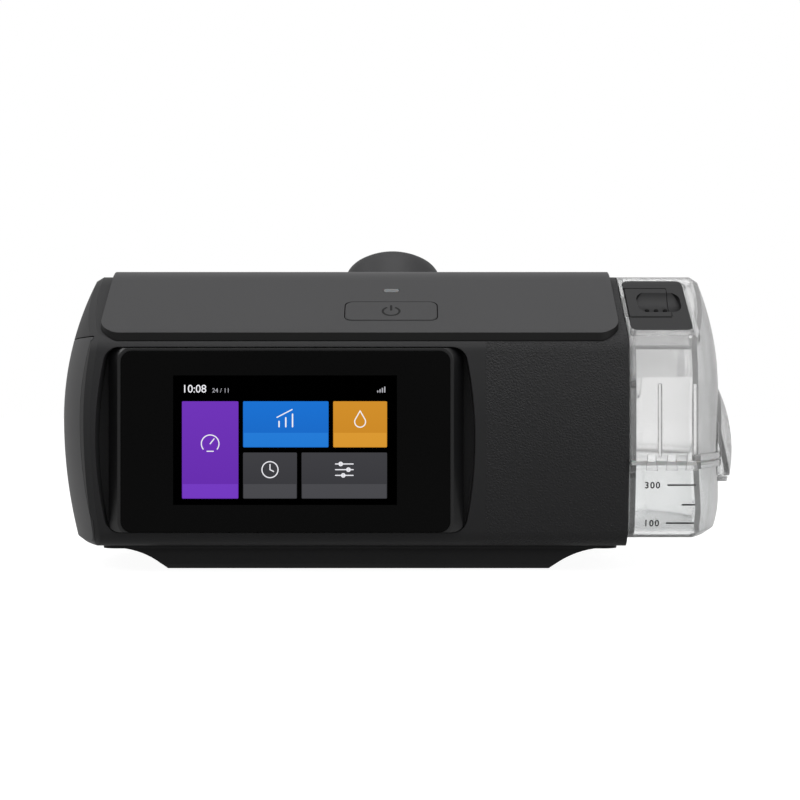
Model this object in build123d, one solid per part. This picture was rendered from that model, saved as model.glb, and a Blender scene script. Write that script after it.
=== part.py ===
"""Bedside CPAP machine: a barrel-sided blower unit with a touch display on its front, a humidifier
chamber that slides off its right end, a pull-off filter cover on its left end and a swivelling hose
elbow on its rear slope.

Millimetres, +Z up. X runs along the width, with the chamber at +X, and the display faces -Y.
The pieces are modelled about the middle of the housing and moved at the end, so that the origin is
at the bottom centre of the whole object.
"""

from build123d import *
import math
import os

# ---------------------------------------------------------------- driving sizes
# Housing envelope
HOUSING_DEPTH = 160.0  # between the two bulging long faces
HOUSING_BOTTOM = 10.3  # height of the housing's underside over the table
HOUSING_TOP = 118.3  # flat top under the top cover
APEX_Z = 60.0  # height where every side bulges most
FACE_RADIUS = 170.0  # vertical curve of the front and rear faces
SHOULDER_Z = 91.0  # where the upright faces turn into the slopes
SLOPE_ANGLE = 32.8  # degrees from level
BOTTOM_EDGE_RADIUS = 8.0
SHOULDER_RADIUS = 10.0
RIDGE_RADIUS = 25.0
LEFT_APEX_X = -141.5  # furthest point of the domed left end
RIGHT_FACE_X = 88.5  # flat face that the chamber docks against
END_PLAN_RADIUS = 170.0  # curve of both ends seen from above
LEFT_TOP_RADIUS = 125.0  # curve of the left end seen from the front, over the apex
LEFT_LOW_RADIUS = 200.0  # and under it
END_EDGE = 2.0  # bevelled edge between the long faces and an end
WALL = 2.4  # moulded wall of the housing, base and chamber
GAP = 0.4  # gap between separate mouldings
SEAT = 0.15  # gap between pieces that are fixed to each other

# Top cover
COVER_THICKNESS = 2.2
COVER_LEFT_X = -117.0
COVER_RIGHT_X = 85.5
COVER_MARGIN = 3.4  # from the long faces to the cover's edges
COVER_CORNER_RADIUS = 8.0

# Power button and indicator, measured up the front slope from the shoulder
CONTROL_X = -3.5
BUTTON_WIDTH = 36.3
BUTTON_HEIGHT = 14.5
BUTTON_CENTRE = 18.0
BUTTON_CORNER = 3.2
BUTTON_GAP = 0.3
BUTTON_TRAVEL = 0.8
LIGHT_WIDTH = 6.1
LIGHT_HEIGHT = 2.7
LIGHT_CENTRE = 34.6

# Display
GLASS_LEFT_X = -107.8
GLASS_RIGHT_X = 19.3
GLASS_LOW_Z = 16.5
GLASS_HIGH_Z = 86.4
GLASS_THICKNESS = 1.8
GLASS_PROUD = 0.4
BEZEL_SET_BACK = 1.5  # from the front face's apex to the bezel's face
BEZEL_SIDE = 5.4  # width of the bevelled side outside the glass
BEZEL_BEVEL = 4.0  # depth of that bevel
POCKET_DEPTH = 10.0  # from the front face's apex to the floor of the display pocket
POCKET_BULGE = 4.0  # how far the sides of the pocket bow outwards
POCKET_CORNER = 6.0
SCREEN_WIDTH = 105.0  # outline of the display module behind the glass
SCREEN_HEIGHT = 62.0
SCREEN_THICKNESS = 4.0
SCREEN_CENTRE_X = -44.4

# Humidifier chamber
CHAMBER_BOTTOM = 13.6
CHAMBER_APEX_X = 134.0
CHAMBER_TOP_RADIUS = 118.0
CHAMBER_LOW_RADIUS = 40.0
CHAMBER_LOW_APEX = 28.0
CHAMBER_HIGH_APEX = 72.0
CHAMBER_EDGE = 2.4
SEAM_Z = 43.5  # where the lid meets the tub
RIM_HEIGHT = 2.6
RIM_PROUD = 1.2
SEAM_GAP = 0.4
SEAL_WIDTH = 1.3
HEEL_LEFT_X = 46.0  # inner end of the part of the tub that sits over the heater
HEEL_HALF_DEPTH = 50.0
HEEL_BOTTOM = 17.0
HEEL_TOP = 40.0
HEAT_PLATE_THICKNESS = 2.4
GRIP_APEX_X = 141.5
GRIP_TOP_Z = 78.0
GRIP_BOTTOM_Z = 35.4
GRIP_APEX_Z = 46.5
GRIP_CURVE = 62.0
GRIP_HALF_WIDTH = 31.0
GRIP_CORNER = 24.0
GRIP_WALL = 2.0
GRIP_PLAN_RADIUS = 60.0
HINGE_STANDOFF = 3.0  # from the rear face's apex to the hinge's axis
HINGE_RADIUS = 3.2
HINGE_PIN_RADIUS = 1.5
HINGE_FIRST_X = 93.5
HINGE_LAST_X = 110.5
HINGE_TUB_KNUCKLE = 6.0
RUNNING = 0.06  # radial clearance of a turning fit

# Release latch on the chamber's slope
LATCH_LEFT_X = 90.5
LATCH_RIGHT_X = 114.6
LATCH_LOW = 7.1
LATCH_HIGH = 46.5
LATCH_DEPTH = 6.5
LATCH_SKIN = 2.2
LATCH_CORNER = 3.0
TONGUE_LOW = 17.9
TONGUE_HIGH = 39.8
TONGUE_RIGHT_X = 107.8
TONGUE_DEPTH = 5.0
PIVOT_X = 105.8
PIVOT_DEPTH = 4.0
PIVOT_RADIUS = 0.8
SCOOP_X = 103.6
SCOOP_HALF_LENGTH = 8.7
SCOOP_HALF_WIDTH = 7.7
SCOOP_DEPTH = 3.4

# Air ports between the housing and the chamber: (y, z)
PORT_RADIUS = 9.0
SUPPLY_PORT = (-28.0, 80.0)
RETURN_PORT = (26.0, 84.0)
DUCT_WALL = 1.5
GASKET_RADIUS = 12.0
GASKET_HEIGHT = 1.8

# Swivelling hose elbow on the rear slope
ELBOW_X = -3.4
ELBOW_RADIUS = 22.5
ELBOW_HEIGHT = 29.5
ELBOW_DOME_RADIUS = 31.0
ELBOW_SPIGOT_RADIUS = 18.0
ELBOW_WALL = 2.2
SEAT_RADIUS = 23.6
ELBOW_CLIMB = 2.4  # how far its axis stands above the middle of the slope
SEAT_DEPTH = 8.0
HOSE_CONE_RADIUS = 11.0  # the standard 22 mm breathing hose fitting
HOSE_CONE_LENGTH = 18.0
HOSE_BORE_RADIUS = 9.0
HOSE_AXIS_HEIGHT = 16.0
HOSE_COLLAR_RADIUS = 12.6
HOSE_COLLAR_END = 25.0

# Filter cover on the left end
END_WALL_X = -119.0
DOOR_SET_BACK = 6.0  # from the long faces to the side cover's ends
DOOR_TOP_Z = 92.0
DOOR_RIM = 2.0
FILTER_SIZE = 46.0
FILTER_THICKNESS = 6.0
FILTER_CENTRE_Z = 52.0
SLOT_WIDTH = 2.2
SLOT_PITCH = 5.0
SLOT_COUNT = 9
SLOT_HEIGHT = 44.0
SLOT_FIRST_Y = 18.0

# Base
BASE_LEFT_X = -117.4
BASE_RIGHT_X = 85.8
BASE_FOOT_LEFT_X = -92.0
BASE_FOOT_RIGHT_X = 59.0
BASE_SET_BACK = 18.0  # from the long faces to the pedestal
BASE_CURVE_START = 4.4  # flat flange outside the curved flank
BASE_CURVE_SAG = 1.6  # how far the flank's curve hangs in from a straight line
BASE_UNDERSIDE = 0.8
FLANGE_THICKNESS = 1.2
FOOT_RADIUS = 8.0
FOOT_X = (-78.0, 45.0)
FOOT_Y = 42.0
SCREW_RADIUS = 1.5
SCREW_HEAD_RADIUS = 2.9
SCREW_HEAD_HEIGHT = 2.0

# Blower
BLOWER_X = -40.0
BLOWER_Y = 4.0
MOUNT_Z = 13.0  # underside of the soft ring that carries the motor
MOUNT_HEIGHT = 4.4
MOTOR_PLATE = 2.0
MOTOR_RADIUS = 18.0
MOTOR_HEIGHT = 13.0
SHAFT_RADIUS = 1.5
VOLUTE_FLOOR_Z = 35.0
VOLUTE_HEIGHT = 19.0
VOLUTE_WALL = 1.8
VOLUTE_GROWTH = 13.0  # how much wider the spiral is at its outlet than at its tongue
IMPELLER_RADIUS = 25.0
IMPELLER_BLADES = 11
IMPELLER_HEIGHT = 9.5
BLADE_THICKNESS = 1.0

# Rear sockets
POWER_X = -92.0
POWER_Z = 34.0
POWER_BORE_RADIUS = 2.9
POWER_BORE_DEPTH = 9.0
CARD_X = -52.0
CARD_LOW_Z = 50.0
CARD_WIDTH = 32.0
CARD_HEIGHT = 13.0
FLAP_THICKNESS = 2.0
FLAP_PIN_RADIUS = 0.7

# ---------------------------------------------------------------- worked-out sizes
SLOPE = math.radians(SLOPE_ANGLE)
HALF_DEPTH = HOUSING_DEPTH / 2
COVER_HALF_DEPTH = HALF_DEPTH - COVER_MARGIN
BEZEL_FACE_Y = BEZEL_SET_BACK - HALF_DEPTH
POCKET_FLOOR_Y = POCKET_DEPTH - HALF_DEPTH
HINGE_Y = HALF_DEPTH + HINGE_STANDOFF
DOOR_HALF_DEPTH = HALF_DEPTH - DOOR_SET_BACK
BASE_HALF_DEPTH = HALF_DEPTH - BASE_SET_BACK
CHAMBER_LEFT_X = RIGHT_FACE_X + GAP
FRAME_LEFT_X = RIGHT_FACE_X - 4.0  # inner face of the docking frame
FAR = 400.0  # larger than the object, for cutting tools


def face_reach(z):
    """How far the front or rear face stands from the middle at height z."""
    return HALF_DEPTH - FACE_RADIUS + math.sqrt(FACE_RADIUS**2 - (z - APEX_Z) ** 2)


SHOULDER_Y = face_reach(SHOULDER_Z)
RIDGE_Y = SHOULDER_Y - (HOUSING_TOP - SHOULDER_Z) / math.tan(SLOPE)

# On the front slope, local y climbs from the shoulder and local z points out of the surface.
FRONT_SLOPE = Plane(
    origin=(0, -SHOULDER_Y, SHOULDER_Z), x_dir=(1, 0, 0), z_dir=(0, -math.sin(SLOPE), math.cos(SLOPE))
)
# The elbow's plane lies on the rear slope; local y runs down it, towards the rear.
ELBOW_PLANE = Plane(
    origin=(
        ELBOW_X,
        (SHOULDER_Y + RIDGE_Y) / 2 - ELBOW_CLIMB * math.cos(SLOPE),
        (SHOULDER_Z + HOUSING_TOP) / 2 + ELBOW_CLIMB * math.sin(SLOPE),
    ),
    x_dir=(1, 0, 0),
    z_dir=(0, math.sin(SLOPE), math.cos(SLOPE)),
)


# ---------------------------------------------------------------- shared shapes
def block(x0, x1, y0, y1, z0, z1):
    """A box between two corners."""
    return Pos((x0 + x1) / 2, (y0 + y1) / 2, (z0 + z1) / 2) * Box(x1 - x0, y1 - y0, z1 - z0)


def tube(start, direction, length, radius, bore=0.0):
    """A rod, or a pipe if it has a bore, that runs from start along direction."""
    plane = Plane(origin=start, z_dir=direction)
    ring = Circle(radius) - Circle(bore) if bore else Circle(radius)
    return extrude(plane * ring, amount=length)


def corners(sketch, points, radius):
    """Rounds the corners of a flat outline that lie at the given points."""
    picked = [v for v in sketch.vertices() if any(math.dist((v.X, v.Y), p) < 0.01 for p in points)]
    return fillet(picked, radius)


def end_section(bottom, inset=0.0):
    """The outline that the housing and the chamber share, in the YZ plane, moved inwards by inset."""
    low = face_reach(bottom)
    front_low, front_high = (-low, bottom), (-SHOULDER_Y, SHOULDER_Z)
    front_ridge, rear_ridge = (-RIDGE_Y, HOUSING_TOP), (RIDGE_Y, HOUSING_TOP)
    rear_high, rear_low = (SHOULDER_Y, SHOULDER_Z), (low, bottom)
    outline = make_face(
        [
            ThreePointArc(front_low, (-HALF_DEPTH, APEX_Z), front_high),
            Line(front_high, front_ridge),
            Line(front_ridge, rear_ridge),
            Line(rear_ridge, rear_high),
            ThreePointArc(rear_high, (HALF_DEPTH, APEX_Z), rear_low),
            Line(rear_low, front_low),
        ]
    )
    outline = corners(outline, [front_low, rear_low], BOTTOM_EDGE_RADIUS)
    outline = corners(outline, [front_high, rear_high], SHOULDER_RADIUS)
    outline = corners(outline, [front_ridge, rear_ridge], RIDGE_RADIUS)
    return offset(outline, amount=-inset) if inset else outline


def barrel(
    side, apex_x, low_apex, high_apex, low_radius, high_radius, plan_radius, inset=0.0, span=(0.0, 136.0)
):
    """A solid of revolution about an upright axis, whose bulging side is a domed end."""
    low_z, high_z = span
    skin = apex_x - side * inset

    def arc_x(z, apex_z, radius):
        return skin - side * (radius - inset) + side * math.sqrt((radius - inset) ** 2 - (z - apex_z) ** 2)

    axis_x = apex_x - side * plan_radius
    bottom = (arc_x(low_z, low_apex, low_radius), low_z)
    top = (arc_x(high_z, high_apex, high_radius), high_z)
    low_mid_z, high_mid_z = (low_z + low_apex) / 2, (high_z + high_apex) / 2
    edges = [
        Line((axis_x, low_z), bottom),
        ThreePointArc(bottom, (arc_x(low_mid_z, low_apex, low_radius), low_mid_z), (skin, low_apex)),
        ThreePointArc((skin, high_apex), (arc_x(high_mid_z, high_apex, high_radius), high_mid_z), top),
        Line(top, (axis_x, high_z)),
        Line((axis_x, high_z), (axis_x, low_z)),
    ]
    if high_apex > low_apex:
        edges.append(Line((skin, low_apex), (skin, high_apex)))
    profile = Plane.XZ * make_face(edges)
    return revolve(profile, axis=Axis((axis_x, 0, 0), (0, 0, 1)))


def housing_envelope(inset=0.0):
    """The housing's outer form, or its hollow if inset is the wall."""
    prism = extrude(Plane.YZ * end_section(HOUSING_BOTTOM, inset), amount=FAR, both=True)
    end = barrel(-1, LEFT_APEX_X, APEX_Z, APEX_Z, LEFT_LOW_RADIUS, LEFT_TOP_RADIUS, END_PLAN_RADIUS, inset)
    form = prism & end & block(-FAR, RIGHT_FACE_X, -FAR, FAR, -FAR, FAR)
    return form if inset > 0.0 else chamfer(end_edges(form, -1), END_EDGE)


def chamber_envelope(inset=0.0):
    """The chamber's outer form; a negative inset gives the proud rim."""
    prism = extrude(Plane.YZ * end_section(CHAMBER_BOTTOM, inset), amount=FAR, both=True)
    end = barrel(
        1,
        CHAMBER_APEX_X,
        CHAMBER_LOW_APEX,
        CHAMBER_HIGH_APEX,
        CHAMBER_LOW_RADIUS,
        CHAMBER_TOP_RADIUS,
        END_PLAN_RADIUS,
        inset,
    )
    form = prism & end & block(CHAMBER_LEFT_X + max(inset, 0.0), FAR, -FAR, FAR, -FAR, FAR)
    return form if inset > 0.0 else chamfer(end_edges(form, 1), CHAMBER_EDGE)


def end_edges(form, side):
    """The loop of edges where a domed end meets the rest of an envelope."""
    dome = [f for f in form.faces() if f.geom_type not in (GeomType.PLANE, GeomType.CYLINDER)]
    seen = [e for f in dome for e in f.edges()]
    loop = [e for e in seen if sum(e.is_same(other) for other in seen) == 1]
    return [e for e in loop if side * e.center().X > 0]


HOUSING = housing_envelope()
HOUSING_HOLLOW = housing_envelope(WALL)
CHAMBER = chamber_envelope()
CHAMBER_HOLLOW = chamber_envelope(WALL)

PARTS = {}

# ---------------------------------------------------------------- housing
# The display pocket is a rectangle whose two short sides bow outwards.
BEZEL_LEFT_X = GLASS_LEFT_X - BEZEL_SIDE
BEZEL_RIGHT_X = GLASS_RIGHT_X + BEZEL_SIDE
POCKET_LOW_Z = GLASS_LOW_Z - 0.6
POCKET_HIGH_Z = GLASS_HIGH_Z + 1.6


def pocket_outline(grow):
    """The display pocket seen from the front, grown by a margin, as a flat XZ outline."""
    low, high, middle = POCKET_LOW_Z, POCKET_HIGH_Z, (POCKET_LOW_Z + POCKET_HIGH_Z) / 2
    left, right = BEZEL_LEFT_X - GAP, BEZEL_RIGHT_X + GAP
    points = [(left, low), (right, low), (right, high), (left, high)]
    shape = make_face(
        [
            Line(points[0], points[1]),
            ThreePointArc(points[1], (right + POCKET_BULGE, middle), points[2]),
            Line(points[2], points[3]),
            ThreePointArc(points[3], (left - POCKET_BULGE, middle), points[0]),
        ]
    )
    shape = corners(shape, points, POCKET_CORNER)
    return offset(shape, amount=grow) if grow else shape


def front_slab(outline, y_front, y_back):
    """An XZ outline turned into a slab between two depths."""
    facing_front = Plane((0, y_back, 0), x_dir=(1, 0, 0), z_dir=(0, -1, 0))
    return extrude(facing_front * outline, amount=y_back - y_front)


def on_slope(outline, low, high):
    """An outline drawn on the front slope, turned into a slab between two heights over it."""
    return extrude(FRONT_SLOPE * (Pos(0, 0, low) * outline), amount=high - low)


def slope_rectangle(x, y, width, height, radius):
    return Pos(x, y) * RectangleRounded(width, height, radius)


# The left end is a recess for the filter cover, closed by an inner wall.
DOOR_MARGIN = DOOR_HALF_DEPTH + GAP
recess = block(-FAR, END_WALL_X, -DOOR_MARGIN, DOOR_MARGIN, -FAR, DOOR_TOP_Z + GAP)
recess_walls = block(
    -FAR, END_WALL_X + WALL, -DOOR_MARGIN - 2 * WALL, DOOR_MARGIN + 2 * WALL, -FAR, DOOR_TOP_Z + GAP + WALL
)
pocket_box = front_slab(pocket_outline(2.0), -FAR, POCKET_FLOOR_Y + 2.0)
housing = HOUSING - HOUSING_HOLLOW
housing += HOUSING_HOLLOW & recess_walls
housing += HOUSING_HOLLOW & pocket_box
housing -= recess
housing -= front_slab(pocket_outline(0.0), -FAR, POCKET_FLOOR_Y)

# Cable slot from the display to the main board.
housing -= block(-64.0, -24.0, POCKET_FLOOR_Y - 1.0, POCKET_FLOOR_Y + 3.0, 20.0, 23.0)

# Openings for the button and the light in the front slope, with the cover's posts and the elbow's seat.
button_hole = slope_rectangle(
    CONTROL_X, BUTTON_CENTRE, BUTTON_WIDTH + 2 * BUTTON_GAP, BUTTON_HEIGHT + 2 * BUTTON_GAP, BUTTON_CORNER
)
light_hole = slope_rectangle(CONTROL_X, LIGHT_CENTRE, LIGHT_WIDTH + 2 * SEAT, LIGHT_HEIGHT + 2 * SEAT, 1.2)
controls_cut = on_slope(button_hole, -10.0, 10.0) + on_slope(light_hole, -10.0, 10.0)
housing -= controls_cut
COVER_POSTS = [(x, y) for x in (-96.0, 66.0) for y in (-26.0, 26.0)]
POST_RADIUS = 2.0
for x, y in COVER_POSTS:
    housing -= Pos(x, y, HOUSING_TOP) * Cylinder(POST_RADIUS + SEAT, 12.0)
elbow_cut = ELBOW_PLANE * Cylinder(SEAT_RADIUS + SEAT, 30.0)
housing -= elbow_cut

# Opening for the air filter in the left wall.
FILTER_Y = 36.0
filter_hole = FILTER_SIZE + 2 * GAP
housing -= Pos(END_WALL_X, FILTER_Y, FILTER_CENTRE_Z) * Box(12.0, filter_hole, filter_hole)

# Rear openings for the power socket and the data card, with a recess for the card's flap.
housing -= tube((POWER_X, HALF_DEPTH - 8.0, POWER_Z), (0, 1, 0), 20.0, 5.6 + SEAT)
card_opening = block(
    CARD_X - CARD_WIDTH / 2,
    CARD_X + CARD_WIDTH / 2,
    HALF_DEPTH - 8.0,
    FAR,
    CARD_LOW_Z,
    CARD_LOW_Z + CARD_HEIGHT,
)
housing -= card_opening
FLAP_AXIS_Y = HALF_DEPTH - FLAP_THICKNESS / 2 - 0.25
FLAP_AXIS_Z = CARD_LOW_Z + FLAP_THICKNESS / 2 + 0.3
FLAP_PIN_REACH = 2.0
housing -= tube(
    (CARD_X - CARD_WIDTH / 2 - FLAP_PIN_REACH, FLAP_AXIS_Y, FLAP_AXIS_Z),
    (1, 0, 0),
    CARD_WIDTH + 2 * FLAP_PIN_REACH,
    FLAP_PIN_RADIUS + RUNNING,
)

# Screw bosses: up from the floor for the base, and along the right end for the docking frame.
BASE_SCREW_INSET = 10.0  # from the pedestal's long faces
base_screw_y = BASE_HALF_DEPTH - BASE_SCREW_INSET
BASE_SCREWS = [(x, y) for x in (-62.0, 30.0) for y in (-base_screw_y, base_screw_y)]
BOSS_RADIUS = 4.2
BOSS_TOP = 22.0
for x, y in BASE_SCREWS:
    housing += tube((x, y, HOUSING_BOTTOM + 0.5), (0, 0, 1), BOSS_TOP - HOUSING_BOTTOM - 0.5, BOSS_RADIUS)
    housing -= tube(
        (x, y, HOUSING_BOTTOM - 1.0), (0, 0, 1), BOSS_TOP - HOUSING_BOTTOM - 1.0, SCREW_RADIUS + SEAT
    )
low_screw_y = HALF_DEPTH - 13.0
high_screw_y = RIDGE_Y + 9.2
FRAME_SCREWS = [(-low_screw_y, 34.0), (low_screw_y, 34.0), (-high_screw_y, 104.0), (high_screw_y, 104.0)]
BOSS_LENGTH = 14.0
for y, z in FRAME_SCREWS:
    start = FRAME_LEFT_X - SEAT - BOSS_LENGTH
    reach = math.copysign(11.0, y)
    boss = tube((start, y, z), (1, 0, 0), BOSS_LENGTH, BOSS_RADIUS)
    web = block(start, start + BOSS_LENGTH, min(y, y + reach), max(y, y + reach), z - 1.2, z + 1.2)
    housing += (boss + web) & HOUSING_HOLLOW
    housing -= tube((start + 2.0, y, z), (1, 0, 0), BOSS_LENGTH, SCREW_RADIUS + SEAT)
PARTS["main_housing"] = housing

# ---------------------------------------------------------------- top cover
cover_section = end_section(HOUSING_BOTTOM, -COVER_THICKNESS) - end_section(HOUSING_BOTTOM, -SEAT)
cover = extrude(Plane.YZ * cover_section, amount=FAR, both=True)
cover_plan = Pos((COVER_LEFT_X + COVER_RIGHT_X) / 2, 0) * RectangleRounded(
    COVER_RIGHT_X - COVER_LEFT_X, 2 * COVER_HALF_DEPTH, COVER_CORNER_RADIUS
)
cover &= Pos(0, 0, APEX_Z) * extrude(cover_plan, amount=FAR)
cover -= controls_cut
cover -= elbow_cut
for x, y in COVER_POSTS:
    cover += Pos(x, y, HOUSING_TOP - 3.0) * Cylinder(POST_RADIUS, 8.0)
PARTS["top_cover"] = cover

# ---------------------------------------------------------------- power button and its board
FLANGE_MARGIN = 1.2
BUTTON_PROUD = 0.2
button_top = COVER_THICKNESS + BUTTON_PROUD
button_cap = on_slope(
    slope_rectangle(CONTROL_X, BUTTON_CENTRE, BUTTON_WIDTH, BUTTON_HEIGHT, BUTTON_CORNER),
    -WALL - 2.0,
    button_top,
)
button_cap = chamfer(button_cap.faces().sort_by(Axis((0, 0, 0), FRONT_SLOPE.z_dir))[-1].edges(), 0.3)
button_flange = on_slope(
    slope_rectangle(
        CONTROL_X,
        BUTTON_CENTRE,
        BUTTON_WIDTH + 2 * FLANGE_MARGIN,
        BUTTON_HEIGHT + 2 * FLANGE_MARGIN,
        BUTTON_CORNER + FLANGE_MARGIN,
    ),
    -WALL - 2.0,
    -WALL - 0.1,
)
SWITCH_TOP = -WALL - 6.0
button_stem = on_slope(
    Pos(CONTROL_X, BUTTON_CENTRE) * Circle(2.0), SWITCH_TOP + BUTTON_TRAVEL + 0.05, -WALL - 1.5
)
PARTS["power_button"] = button_cap + button_flange + button_stem

SWITCH_BOARD_TOP = SWITCH_TOP - 3.0
SWITCH_BOARD_CENTRE = (BUTTON_CENTRE + LIGHT_CENTRE) / 2
switch_board = on_slope(
    slope_rectangle(CONTROL_X, SWITCH_BOARD_CENTRE, 44.0, 30.0, 1.5), SWITCH_BOARD_TOP - 1.6, SWITCH_BOARD_TOP
)
switch_body = on_slope(
    slope_rectangle(CONTROL_X, BUTTON_CENTRE, 6.0, 6.0, 0.5), SWITCH_BOARD_TOP, SWITCH_TOP - 0.8
)
switch_plunger = on_slope(Pos(CONTROL_X, BUTTON_CENTRE) * Circle(1.5), SWITCH_TOP - 1.2, SWITCH_TOP)
PARTS["button_switch"] = switch_board + switch_body + switch_plunger

light_foot = on_slope(
    slope_rectangle(CONTROL_X, LIGHT_CENTRE, LIGHT_WIDTH + 2.0, LIGHT_HEIGHT + 2.0, 1.5), -5.0, -2.6
)
PARTS["light_pipe"] = light_foot + on_slope(
    slope_rectangle(CONTROL_X, LIGHT_CENTRE, LIGHT_WIDTH, LIGHT_HEIGHT, 1.1), -4.0, COVER_THICKNESS
)

# ---------------------------------------------------------------- display
GLASS_CORNER = 4.0
glass_x = (GLASS_LEFT_X + GLASS_RIGHT_X) / 2
glass_z = (GLASS_LOW_Z + GLASS_HIGH_Z) / 2
glass_width = GLASS_RIGHT_X - GLASS_LEFT_X
glass_height = GLASS_HIGH_Z - GLASS_LOW_Z
glass_front = BEZEL_FACE_Y - GLASS_PROUD
glass_back = glass_front + GLASS_THICKNESS
glass_outline = Pos(glass_x, glass_z) * RectangleRounded(glass_width, glass_height, GLASS_CORNER)
PARTS["display_glass"] = front_slab(glass_outline, glass_front, glass_back)

bezel_width = glass_width + 2 * BEZEL_SIDE
bezel = front_slab(
    Pos(glass_x, glass_z)
    * RectangleRounded(bezel_width, glass_height + 2 * BEZEL_SIDE, GLASS_CORNER + BEZEL_SIDE),
    BEZEL_FACE_Y,
    POCKET_FLOOR_Y - SEAT,
)
bezel = chamfer(bezel.faces().sort_by(Axis.Y)[0].edges(), BEZEL_BEVEL)
bezel &= front_slab(pocket_outline(-GAP), -FAR, 0.0)
bezel -= front_slab(offset(glass_outline, amount=SEAT), -FAR, glass_back + SEAT)
screen_outline = Pos(SCREEN_CENTRE_X, glass_z) * Rectangle(SCREEN_WIDTH, SCREEN_HEIGHT)
bezel -= front_slab(offset(screen_outline, amount=SEAT, kind=Kind.INTERSECTION), -FAR, 0.0)
PARTS["display_bezel"] = bezel
screen_front = glass_back + SEAT
PARTS["display_module"] = front_slab(screen_outline, screen_front, screen_front + SCREEN_THICKNESS)

board_front = POCKET_FLOOR_Y + 2.0 + 3.0
board_outline = Pos(glass_x, glass_z) * RectangleRounded(116.0, 60.0, 2.0)
board = front_slab(board_outline, board_front, board_front + 1.6)
BOARD_CHIPS = [(-84.0, 60.0, 14.0, 14.0, 1.4), (-56.0, 62.0, 10.0, 10.0, 1.2), (-20.0, 40.0, 18.0, 8.0, 3.0)]
for x, z, width, height, thickness in BOARD_CHIPS:
    board += Pos(x, board_front + 1.6 + thickness / 2, z) * Box(width, thickness, height)
for x in (-92.0, -36.0, 4.0):
    board += tube((x, board_front + 1.0, 34.0), (0, 1, 0), 12.0, 4.0)
PARTS["main_board"] = board

# ---------------------------------------------------------------- base, feet and their screws
BASE_TOP = HOUSING_BOTTOM - SEAT
FLANGE_LOW = HOUSING_BOTTOM - FLANGE_THICKNESS


def pedestal_outline(inset, top):
    """The pedestal's curved ends in the XZ plane."""
    left_high = (BASE_LEFT_X + BASE_CURVE_START + inset, FLANGE_LOW)
    right_high = (BASE_RIGHT_X - BASE_CURVE_START - inset, FLANGE_LOW)
    left_low = (BASE_FOOT_LEFT_X + inset, BASE_UNDERSIDE + inset)
    right_low = (BASE_FOOT_RIGHT_X - inset, BASE_UNDERSIDE + inset)
    middle_z = (FLANGE_LOW + left_low[1]) / 2 + BASE_CURVE_SAG
    left_middle = ((left_high[0] + left_low[0]) / 2 + BASE_CURVE_SAG, middle_z)
    right_middle = ((right_high[0] + right_low[0]) / 2 - BASE_CURVE_SAG, middle_z)
    return make_face(
        [
            Line((left_high[0], top), left_high),
            ThreePointArc(left_high, left_middle, left_low),
            Line(left_low, right_low),
            ThreePointArc(right_low, right_middle, right_high),
            Line(right_high, (right_high[0], top)),
            Line((right_high[0], top), (left_high[0], top)),
        ]
    )


base = extrude(Plane.XZ * pedestal_outline(0.0, BASE_TOP), amount=BASE_HALF_DEPTH, both=True)
bottom_sides = [e for e in base.edges().filter_by(Axis.X) if e.center().Z < 1.0]
base = chamfer(bottom_sides, 2.0)
base += block(
    BASE_LEFT_X, BASE_RIGHT_X, -BASE_HALF_DEPTH - 4.0, BASE_HALF_DEPTH + 4.0, FLANGE_LOW, BASE_TOP
)
flange_corners = [e for e in base.edges().filter_by(Axis.Z) if abs(e.center().Y) > BASE_HALF_DEPTH + 3.0]
base = fillet(flange_corners, 6.0)
base -= extrude(Plane.XZ * pedestal_outline(WALL, BASE_TOP + 1.0), amount=BASE_HALF_DEPTH - WALL, both=True)
FOOT_RECESS = 1.3
for x in FOOT_X:
    for y in (-FOOT_Y, FOOT_Y):
        base += tube((x, y, BASE_UNDERSIDE), (0, 0, 1), WALL + 1.0, FOOT_RADIUS + 2.0)
        base -= tube((x, y, BASE_UNDERSIDE - 1.0), (0, 0, 1), 1.0 + FOOT_RECESS, FOOT_RADIUS + SEAT)
SCREW_SEAT_Z = 6.0  # height of the face under each screw's head
for x, y in BASE_SCREWS:
    base += tube((x, y, BASE_UNDERSIDE + 0.5), (0, 0, 1), BASE_TOP - BASE_UNDERSIDE - 0.5, BOSS_RADIUS + 1.0)
    base -= tube((x, y, 0.0), (0, 0, 1), SCREW_SEAT_Z, SCREW_HEAD_RADIUS + 0.3)
    base -= tube((x, y, 0.0), (0, 0, 1), 12.0, SCREW_RADIUS + SEAT)
PARTS["base_tray"] = base

feet = Part()
for x in FOOT_X:
    for y in (-FOOT_Y, FOOT_Y):
        feet += tube((x, y, 0.0), (0, 0, 1), BASE_UNDERSIDE + FOOT_RECESS - 0.05, FOOT_RADIUS)
PARTS["rubber_feet"] = feet


def screw(seat, direction, length):
    """A pan-head screw whose head rests on seat and whose shank runs along direction."""
    head_start = tuple(s - d * SCREW_HEAD_HEIGHT for s, d in zip(seat, direction))
    head = tube(head_start, direction, SCREW_HEAD_HEIGHT, SCREW_HEAD_RADIUS)
    return head + tube(seat, direction, length, SCREW_RADIUS)


base_screws = Part()
for x, y in BASE_SCREWS:
    base_screws += screw((x, y, SCREW_SEAT_Z - 0.05), (0, 0, 1), 14.0)
PARTS["base_screws"] = base_screws

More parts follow.
